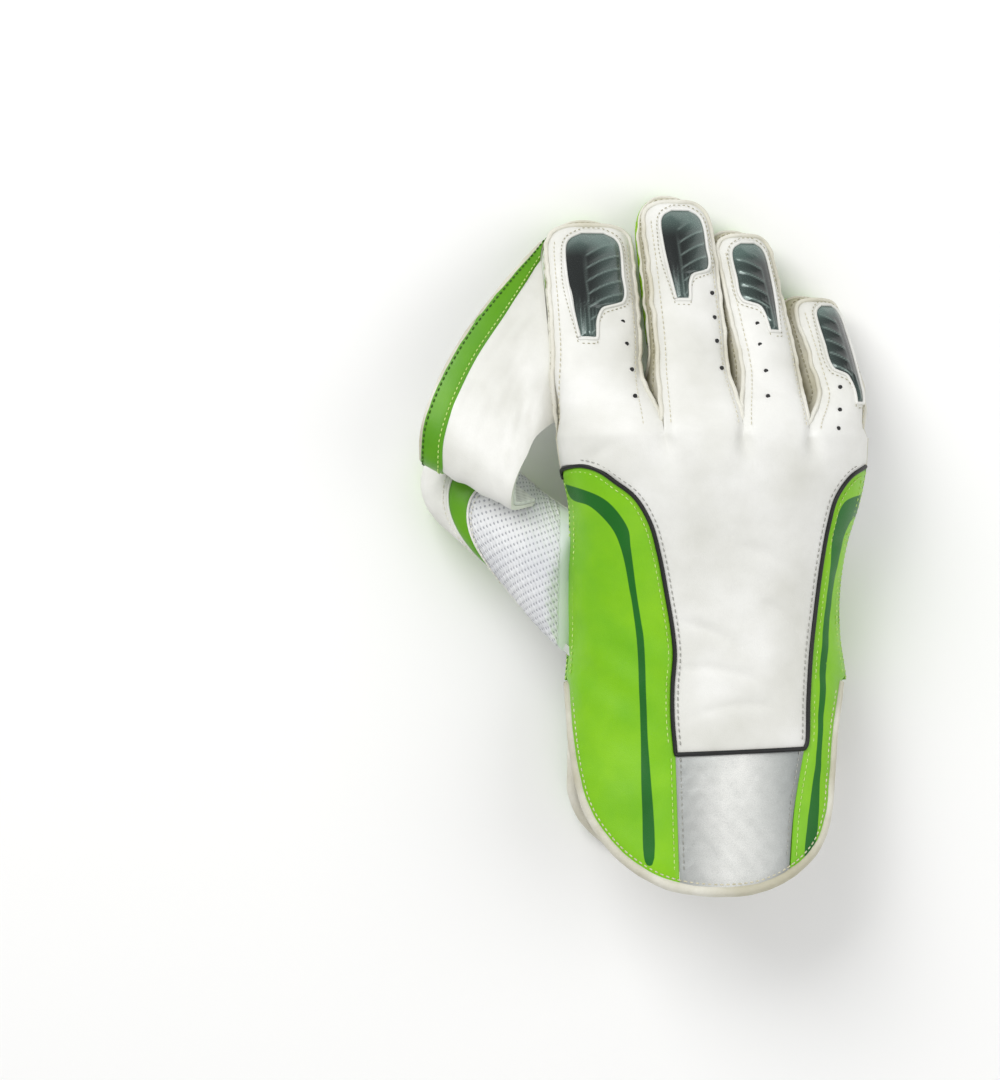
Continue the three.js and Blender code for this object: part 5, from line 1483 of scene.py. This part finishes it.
def finger_guard(f):
    """Guard with embossed ribs, in a raised leather rim."""
    r = (clustered(80, 0.3) + 1) / 2
    c = (clustered(34, 0.4) + 1) / 2
    T = mix(f.f["guard_start"], GUARD_END, r)[:, None] + 0 * c[None]
    r_share = r[:, None] + 0 * c[None]
    A = guard_across(f, r[:, None], c[None])
    base = f.back(T, A, 1.4)
    edge_rows, edge_columns = edge_distance(base)
    rim = np.minimum(edge_rows, edge_columns)
    mirror = f.f["mirror"]
    from_spine = (A - GUARD_SPINE[f.name]) * f.back_half * mirror
    swept = (T * f.length - 0.75 * from_spine + 0.022 * from_spine**2) / 5.9 + 0.3
    ribbed = smoothstep(from_spine, 0.0, 1.2) * smoothstep(rim, 0.6, 2.0) * (1 - smoothstep(T, 0.86, 0.93))
    rib = power(0.5 + 0.5 * np.cos(2 * math.pi * swept), 22) * ribbed
    spine = np.exp(-((from_spine / 0.45) ** 2)) * smoothstep(rim, 1, 3) * (1 - smoothstep(T, 0.8, 0.88))
    lines = power(0.5 + 0.5 * np.cos(2 * math.pi * from_spine / 1.7), 6)
    lines = lines * (1 - smoothstep(r_share, 0.3, 0.42)) * smoothstep(rim, 0.6, 2)
    raised = np.clip(rib + spine * 0.35 + lines * 0.35, 0, 1)
    step = power(0.5 + 0.5 * np.cos(2 * math.pi * (swept - 0.12)), 3) * ribbed
    stand = 0.5 + 2.3 * (1 - np.exp(-rim / 3.6)) + 0.3 * raised + 0.3 * step
    # Painted highlight and reflection: lighter over the guard's tip end, away from its spine and at its lower
    # end
    painted_gleam = smoothstep(T, 0.84, 0.95) * 0.9 + 0.45 * smoothstep(from_spine, 0, 12)
    painted_gleam = painted_gleam + 0.5 * (1 - smoothstep(r_share, 0.05, 0.35))
    obj = open_shell("guard_" + f.name, f.back(T, A, stand), f.back(T, A, 0.2 + 0 * stand), GUARD_PLASTIC,
                     {"rib": raised, "painted_sheen": np.clip(painted_gleam, 0, 1)}, GUARD_PLASTIC)
    finish_piece(obj, ["finger_guard_" + f.name])
    outline_t = np.concatenate([T[:, 0], T[-1, 1:], T[::-1, -1][1:], T[0, ::-1][1:]])
    outline_a = np.concatenate([A[:, 0], A[-1, 1:], A[::-1, -1][1:], A[0, ::-1][1:]])
    mid_t, mid_a = outline_t.mean(), outline_a.mean()

    def grown(by):
        dt, da = (outline_t - mid_t) * f.length, (outline_a - mid_a) * f.back_half
        size = np.hypot(dt, da)
        t_out = np.minimum(outline_t + dt / size * by / f.length, 0.992)
        return t_out, np.clip(outline_a + da / size * by / f.back_half, -0.93, 0.93)

    t_rim, a_rim = grown(0.3)
    rim_path = f.back(t_rim, a_rim, 1.0 + 0 * t_rim)
    obj = tube("guard_rim_" + f.name, np.concatenate([rim_path, rim_path[1:2]]), 0.7, WHITE, 10)
    finish_piece(obj, [])
    t_rim, a_rim = grown(2.4)
    finger_row(f, tan_stitches, t_rim, a_rim, 0.8 + 0 * t_rim, pitch=2.2, length=1.2, radius=0.2)


def finger_edge_rows(f):
    """Rows of stitches along both sides of a finger's back."""
    for side in (-1, 1):
        t = np.linspace(0.05, 0.93, 120)
        away = side * (1 - 2.2 / (f.back_half * np.maximum(f.narrow(t, "back"), 0.2)))
        finger_row(f, cream_stitches, t, away, 0.0 + 0 * t, pitch=2.5, length=1.7, radius=0.2)


# Each vent is a dark disc: painted shade standing for the dark inside of the hole
def finger_vents(f):
    for x, y in VENTS[f.name]:
        t, across = finger_place(f, x, y)
        centre = f.back(np.array(t), np.array(across), np.array(0.78))
        out = f.back(np.array(t), np.array(across), np.array(1.78)) - centre
        out /= np.linalg.norm(out)
        ahead = np.cross(out, f.right)
        ahead /= np.linalg.norm(ahead)
        aside = np.cross(ahead, out)
        start = len(vent_points)
        angles = np.linspace(0, 2 * math.pi, 16, endpoint=False)
        for radius, rise in ((0.95, -0.4), (0.92, 0.16), (0.7, 0.22), (0.4, 0.2), (0.0, 0.2)):
            for angle in angles:
                spoke = ahead * math.cos(angle) + aside * math.sin(angle)
                vent_points.append(centre + spoke * max(radius, 0.01) + out * rise)
        for i in range(4):
            for j in range(16):
                n = (j + 1) % 16
                vent_faces.append([start + i * 16 + j, start + i * 16 + n, start + (i + 1) * 16 + n,
                                   start + (i + 1) * 16 + j])


for k, f in enumerate(fingers):
    side_points, side_normals = finger_side(k, f)
    finger_seams(k, f, side_points, side_normals)
    finger_rubbers(f)
    finger_guard(f)
    finger_edge_rows(f)
    finger_vents(f)
# Dark discs over the vents, painted shade for the holes
vents = make_object("vent_shade_discs", vent_points, vent_faces, [BLACK], None, None, 60)
finish_piece(vents, [])


# Thumb stall

def thumb_skin(t, turn, upper, depth):
    t, turn, depth = same_shape(t, turn, depth)
    heading = np.array([-math.sin(THUMB_HEADING), math.cos(THUMB_HEADING), 0])
    across = np.array([heading[1], -heading[0], 0])
    start, n = THUMB_TIP
    s = np.clip((t - start) / (1 - start), 0, 1)
    narrow = power(1 - power(s, n), 1 / n)
    half = mix(THUMB_ROOT_WIDTH, 1, smoothstep(t, -0.1, 0.5)) * THUMB_WIDTH / 2 - depth
    angle = math.pi / 2 * turn
    a = half * narrow * np.sin(angle)
    b = upper * (THUMB_DEPTH / 2 - depth) * narrow * power(np.cos(angle), THUMB_SQUARENESS)
    root = np.array([THUMB_ROOT[0] * PALM_WIDTH, WRIST_Y + THUMB_ROOT[1] * PALM_LENGTH,
                     THUMB_ROOT[2] * KNUCKLE_HEIGHT])
    point = root + (t * (THUMB_REACH - depth))[..., None] * heading + a[..., None] * across
    height = thumb_height(t) + b
    if upper > 0:
        left, _, _, _, seam_left, *_ = section(point[..., 1])
        outside = left - point[..., 0]
        cap = seam_left + 2.5 - depth + 0.75 * np.maximum(outside, 0) + 0.5 * np.minimum(outside, 0)
        height = np.where(point[..., 1] < KNUCKLE_Y, soft_min(height, cap, 3.0), height)
    point[..., 2] = np.maximum(height, np.maximum(depth, 0))
    return point


def soft_min(a, b, width):
    h = np.clip(0.5 + 0.5 * (b - a) / width, 0, 1)
    return mix(b, a, h) - width * h * (1 - h)


def inside_hand(p):
    left, right, *_ = section(p[..., 1])
    x = np.clip(p[..., 0], left + 0.01, right - 0.01)
    top = back_skin(back_angle(x, p[..., 1]), p[..., 1])[..., 2]
    low = palm_skin(palm_angle(x, p[..., 1]), p[..., 1])[..., 2]
    return (p[..., 0] > left) & (p[..., 0] < right) & (p[..., 2] < top) & (p[..., 2] > low)


def leaves_hand(turn, upper):
    """Share of the thumb's length where its skin comes out of the hand, a little inside."""
    t = np.linspace(-0.3, 0.6, 240)
    T, R = np.meshgrid(t, turn, indexing="ij")
    within = inside_hand(thumb_skin(T, R, upper, 0.0))
    last = np.where(within.any(axis=0), len(t) - 1 - np.argmax(within[::-1], axis=0), 0)
    return t[last] - 1.5 / THUMB_REACH


def stripe_start(turn):
    middle, edge, _ = THUMB_STRIPE
    return middle - (middle - edge) * power(-turn, 1.8)


def pad_start(turn):
    """The pad's lower edge, round like the end of a leaf."""
    return THUMB_PAD_START + mix(-0.1, 0.16, turn**2)


def thumb_part(name, upper, start, end, material, cad, columns, rows, relief="", height=0.7, seed=90):
    turn = clustered(columns, 0.0)
    first = start(turn)[None]
    if end is None:
        rounded = tip_rows(rows, 0.45, 2.0, 0.0, 0.55)[:, None]
        T = first + (1 - first) * rounded
    else:
        T = mix(first, np.maximum(end(turn)[None], first + 0.004), np.linspace(0, 1, rows)[:, None])
    R = turn[None] + 0 * T
    base = thumb_skin(T, R, upper, 0.0)
    u, v = surface_run(base)
    from_start = (T - first) * THUMB_REACH
    to_end = np.full(T.shape, 99.0) if end is None else (end(turn)[None] - T) * THUMB_REACH
    seam_gap = (1 - np.abs(R)) * THUMB_WIDTH * 0.6
    near = np.minimum(np.minimum(np.where(first > 0.02, from_start, 99), to_end), seam_gap)
    near = np.maximum(near, 0)
    uneven = 0.25 * waves(base[..., 0], base[..., 1], seed, 17)
    stand = height * (1 - np.exp(-near / 1.8)) + uneven * np.clip(near / 4, 0, 1)
    # Painted shade near the part's edges and seams; the same value fades the dimples there
    values = {"hollow": np.exp(-near / 1.3) * 0.8}
    if relief == "rubber":
        values["dimple"] = dimples(u, v)
        stand = stand - DIMPLE_DEPTH * (1 - values["dimple"]) * (1 - values["hollow"])
    if relief == "mesh":
        left = section(base[..., 1])[0]
        plain = 1 - smoothstep(left - base[..., 0], 4.5, 5.0)
        values.update(u=u, v=v, plain=plain)
        lattice = np.abs(np.sin(math.pi * (u + v) / 6.6)) * np.abs(np.sin(math.pi * (u - v) / 6.6))
        stand = stand + (0.45 * np.sqrt(lattice) - 0.25) * (1 - plain)
    if relief == "folds":
        for at in (0.74, 0.84, 0.92):
            fold = np.exp(-(((T - at - 0.05 * R * R) * THUMB_REACH / 1.7) ** 2))
            stand = stand - 0.5 * fold * (1 - np.abs(R))
    outer, inner = thumb_skin(T, R, upper, -stand), thumb_skin(T, R, upper, float(THUMB_WALL))
    obj = open_shell(name, outer, inner, material, values, LINING)
    return finish_piece(obj, cad)


def at_hand(upper):
    return lambda turn: leaves_hand(turn, upper)


stripe_gap = 0.3 / THUMB_REACH


def below_stripe(turn):
    return stripe_start(turn) - stripe_gap


def stripe_end(turn):
    return stripe_start(turn) + THUMB_STRIPE[2]


def above_stripe(turn):
    return stripe_end(turn) + stripe_gap


def below_pad(turn):
    return pad_start(turn) - stripe_gap


thumb_part("thumb_mesh", 1, at_hand(1), below_stripe, MESH,
           ["thumb_base_mesh"], 110, 80, "mesh", 0.6, 91)
thumb_part("thumb_green_stripe", 1, stripe_start, stripe_end, GREEN,
           ["thumb_stripe"], 70, 16, "", 0.8, 92)
thumb_part("thumb_leather", 1, above_stripe, None, WHITE,
           ["thumb_back"], 70, 60, "folds", 1.0, 93)
thumb_part("thumb_heel_rubber", -1, at_hand(-1), below_pad, WHITE_RUBBER,
           ["thumb_heel"], 80, 44, "rubber", 0.5, 94)
thumb_part("thumb_pad_rubber", -1, pad_start, None, GREEN_RUBBER,
           ["thumb_pad"], 80, 90, "rubber", 0.6, 95)


def stripe_edge(name, offset):
    """A thin seam along an edge of the stripe, with a row of stitches beside it."""
    turn = np.linspace(-0.97, 0.97, 90)
    path = thumb_skin(stripe_start(turn) + offset, turn, 1, -0.35)
    obj = tube(name, path, 0.55, WHITE, 8)
    finish_piece(obj, [])
    shifted = stripe_start(turn) + offset + (0.028 if offset else -0.028)
    rows_at = thumb_skin(shifted, turn, 1, -0.75)
    out = thumb_skin(shifted, turn, 1, -1.75) - rows_at
    out /= np.linalg.norm(out, axis=1, keepdims=True)
    white_stitches.row(rows_at, out, pitch=2.4, length=1.6, radius=0.24)


def thumb_seam():
    """Seam round the thumb between its upper and lower half."""
    for side in (-1, 1):
        t = tip_rows(90, THUMB_TIP[0], THUMB_TIP[1], 0.15)[:-1]
        seam = thumb_skin(t, side * np.ones(len(t)), 1, 0.1)
        if side < 0:
            path = seam
        else:
            path = np.concatenate([path, seam[::-1]])
    obj = tube("thumb_seam", path, 0.85, WHITE, 10)
    finish_piece(obj, [])


stripe_edge("thumb_stripe_edge_low", 0.0)
stripe_edge("thumb_stripe_edge_top", THUMB_STRIPE[2])
thumb_seam()


# Catching web between the thumb and the index finger

def many_curves(points, t):
    """Points of several centripetal curves, points (curve, k, 3), at parameters t."""
    before, after = 2 * points[:, :1] - points[:, 1:2], 2 * points[:, -1:] - points[:, -2:-1]
    p = np.concatenate([before, points, after], axis=1)
    spans = points.shape[1] - 1
    at = np.clip(np.asarray(t, float) * spans, 0, spans - 1e-9)
    i = at.astype(int)
    w = (at - i)[:, None, None]
    a, b, c, d = [np.swapaxes(p[:, i + k], 0, 1) for k in range(4)]

    def gap(q, s):
        return np.maximum(np.linalg.norm(s - q, axis=-1, keepdims=True), 1e-6) ** 0.5
    ta, tb, tc = gap(a, b), gap(b, c), gap(c, d)
    mb = ((b - a) / ta - (c - a) / (ta + tb) + (c - b) / tb) * tb
    mc = ((c - b) / tb - (d - b) / (tb + tc) + (d - c) / tc) * tb
    return ((2 * w**3 - 3 * w**2 + 1) * b + (w**3 - 2 * w**2 + w) * mb + (3 * w**2 - 2 * w**3) * c
            + (w**3 - w**2) * mc)


def web_controls(width):
    index = fingers[0]
    t = mix(WEB_ON_INDEX[0], WEB_ON_INDEX[1], width)
    rail = index.rail(False, t, -1, 0.0)
    sides = [rail] + [index.front(t, a, 0.0) for a in (-0.95, -0.8, -0.65)]
    outermost = np.min([s[:, 0] for s in sides], axis=0)
    first = rail.copy()
    first[:, 0] = outermost + 0.4 - WEB_LEATHER_WALL * mix(1.1, 0.2, width)
    rows = [first]
    scale = np.array([PALM_WIDTH, PALM_LENGTH, KNUCKLE_HEIGHT])
    for row in WEB:
        point = mix(row[:3][None], row[3:][None], width[:, None]) * scale + np.array([0, WRIST_Y, 0])
        rows.append(point)
    on_thumb = mix(WEB_ON_THUMB[0], WEB_ON_THUMB[1], width)
    rows.append(thumb_skin(on_thumb, WEB_ON_THUMB[2], 1, -0.4))
    return np.stack(rows, axis=1)


def web_grid(along, width, depth):
    """Points of the web, rows along it and columns over its width."""
    step = 0.01

    def at(s, w):
        return many_curves(web_controls(w), s)
    tangent = at(np.minimum(along + step, 1), width) - at(np.maximum(along - step, 0), width)
    sideways = at(along, np.minimum(width + step, 1)) - at(along, np.maximum(width - step, 0))
    normal = np.cross(tangent, sideways)
    normal /= np.maximum(np.linalg.norm(normal, axis=-1, keepdims=True), 1e-9)
    return at(along, width) - normal * np.asarray(depth)[..., None], normal


along = np.linspace(0, 1, 150)
width = np.linspace(0, 1, 46)
web_shape = (len(along), len(width))
web_top = web_grid(along, width, np.zeros(web_shape))[0]


def web_leather():
    u, v = surface_run(web_top)
    rim = np.minimum(*edge_distance(web_top))
    wrinkle = 0.5 * waves(u * 1.5, v, 101, 15)
    wrinkle = wrinkle + 0.6 * np.sin(u / 2.4 + 0.05 * v) * smoothstep(along, 0.45, 0.75)[:, None]
    stand = 0.4 * (1 - np.exp(-rim / 2)) + wrinkle * np.clip(rim / 6, 0, 1) * 0.5
    outer, _ = web_grid(along, width, -stand)
    inner, _ = web_grid(along, width, WEB_LEATHER_WALL + np.zeros(web_shape))
    # Painted shade towards the sheet's edges
    obj = open_shell("web_leather_sheet", outer, inner, WHITE, {"hollow": np.exp(-rim / 1.5)}, LINING)
    finish_piece(obj, ["web_leather"])


web_leather()
edge_width = np.linalg.norm(web_top[:, 0] - web_top[:, -1], axis=-1)
share_of_border = WEB_BORDER_WIDTH / edge_width
border_across = np.linspace(0, 1, 14)


def border_grid(rows, depth):
    """Points of the border strip, whose width is a share of the web's own width."""
    fine = np.linspace(0, 1, 60)
    grid, normal = web_grid(rows, fine, np.zeros((len(rows), 60)))
    share_here = np.interp(rows, along, share_of_border)
    want = (border_across[None] * share_here[:, None]).clip(0, 1)

    def at_wanted(table):
        read = [[np.interp(want[i], fine, table[i, :, k]) for k in range(3)] for i in range(len(rows))]
        return np.swapaxes(np.stack(read), 1, 2)

    points, normals = at_wanted(grid), at_wanted(normal)
    return points - normals * np.asarray(depth)[..., None], normals


def web_border():
    border_rows = np.linspace(0.005, 0.93, 130)
    border_shape = (len(border_rows), len(border_across))
    from_edge = np.minimum(border_across, 1 - border_across)
    near = from_edge[None] * WEB_BORDER_WIDTH + np.zeros(border_shape)
    border_stand = 0.5 + 0.8 * (1 - np.exp(-near / 1.2))
    outer, border_normal = border_grid(border_rows, -border_stand)
    inner, _ = border_grid(border_rows, 0.5 + np.zeros(border_shape))
    # Painted shade towards the strip's edges
    obj = open_shell("web_green_border", outer, inner, GREEN, {"hollow": np.exp(-near / 1.2)}, GREEN)
    finish_piece(obj, ["web_border"])
    dark_stitches.row(outer[:, 2], border_normal[:, 2], pitch=2.6, length=1.7, radius=0.34)
    lime_stitches.row(outer[:, -3], border_normal[:, -3], pitch=2.4, length=1.5, radius=0.26)


web_border()


def web_rubber():
    rubber_top = WEB_LEATHER_WALL + 0.2
    along_r, width_r = np.linspace(0.025, 0.99, 170), np.linspace(0.06, 1, 60)
    flat = np.zeros((170, 60))
    rubber_base, _ = web_grid(along_r, width_r, flat + rubber_top)
    u, v = surface_run(rubber_base)
    height = dimples(u, v)
    inner_face, _ = web_grid(along_r, width_r, rubber_top + 1.8 - 0.4 * (1 - height))
    obj = open_shell("web_rubber_sheet", inner_face, rubber_base, WHITE_RUBBER, {"dimple": height},
                     WHITE_RUBBER)
    finish_piece(obj, ["web_rubber"])


web_rubber()


def web_edge():
    edge_rows = np.linspace(0.01, 0.99, 160)
    path, _ = web_grid(edge_rows, np.array([0.02]), np.full((160, 1), 1.0))
    obj = tube("web_edge", path[:, 0], 1.9, CREAM, 12, 1.0, None, 0.04)
    finish_piece(obj, ["web_binding"])


web_edge()


for stitches, name, material in (
    (white_stitches, "stitches_white", WHITE_THREAD),
    (cream_stitches, "stitches_cream", CREAM_THREAD),
    (grey_stitches, "stitches_grey", GREY_THREAD),
    (tan_stitches, "stitches_tan", TAN_THREAD),
    (lime_stitches, "stitches_lime", LIME_THREAD),
    (dark_stitches, "stitches_dark_green", DARK_THREAD),
):
    obj = stitches.make(name, material)
    finish_piece(obj, [])


# Floor, light and camera, in metres and watts

FLOOR_REACH = 6.0
FLOOR_COLOUR = (0.93, 0.93, 0.92, 1)
LIT_POINT = (-0.03, 0.02, 0.04)
SURROUND_LIGHT = 0.46
CAMERA_PLACE = (-0.0621, 0.00075, 2.05)
CAMERA_LENS_MM = 167.4
floor_material = bpy.data.materials.new("pale_floor")
floor_material.use_nodes = True
floor_shader = floor_material.node_tree.nodes["Principled BSDF"]
floor_shader.inputs["Base Color"].default_value = FLOOR_COLOUR
floor_shader.inputs["Roughness"].default_value = 0.85
floor_mesh = bpy.data.meshes.new("floor")
floor_corners = [(x * FLOOR_REACH, y * FLOOR_REACH, 0) for x, y in ((-1, -1), (1, -1), (1, 1), (-1, 1))]
floor_mesh.from_pydata(floor_corners, [], [(0, 1, 2, 3)])
floor_mesh.materials.append(floor_material)
floor = bpy.data.objects.new("floor", floor_mesh)
bpy.context.scene.collection.objects.link(floor)

LIGHTS = [
    ("key_light", (-0.7, 0.9, 1.2), 1.0, 16.5),
    ("fill_light", (1.1, 0.1, 1.2), 1.2, 7),
    ("low_light", (0.1, -1.2, 1.0), 1.2, 4),
]
for name, place, size, power_w in LIGHTS:
    data = bpy.data.lights.new(name, "AREA")
    data.shape = "SQUARE"
    data.size = size
    data.energy = power_w
    light = bpy.data.objects.new(name, data)
    light.location = place
    aim = np.array(LIT_POINT) - np.array(place)
    tilt, turn = math.acos(-aim[2] / np.linalg.norm(aim)), math.atan2(aim[1], aim[0]) - math.pi / 2
    light.rotation_euler = (tilt, 0, turn)
    bpy.context.scene.collection.objects.link(light)

bpy.context.scene.view_settings.view_transform = "Standard"

world = bpy.data.worlds.new("studio")
world.use_nodes = True
world.node_tree.nodes["Background"].inputs["Color"].default_value = (1, 1, 1, 1)
world.node_tree.nodes["Background"].inputs["Strength"].default_value = SURROUND_LIGHT
bpy.context.scene.world = world

camera_data = bpy.data.cameras.new("camera")
camera_data.sensor_fit = "HORIZONTAL"
camera_data.sensor_width = 36
camera_data.lens = CAMERA_LENS_MM
camera = bpy.data.objects.new("camera", camera_data)
camera.location = CAMERA_PLACE
camera.rotation_euler = (0, 0, 0)
bpy.context.scene.collection.objects.link(camera)
bpy.context.scene.camera = camera
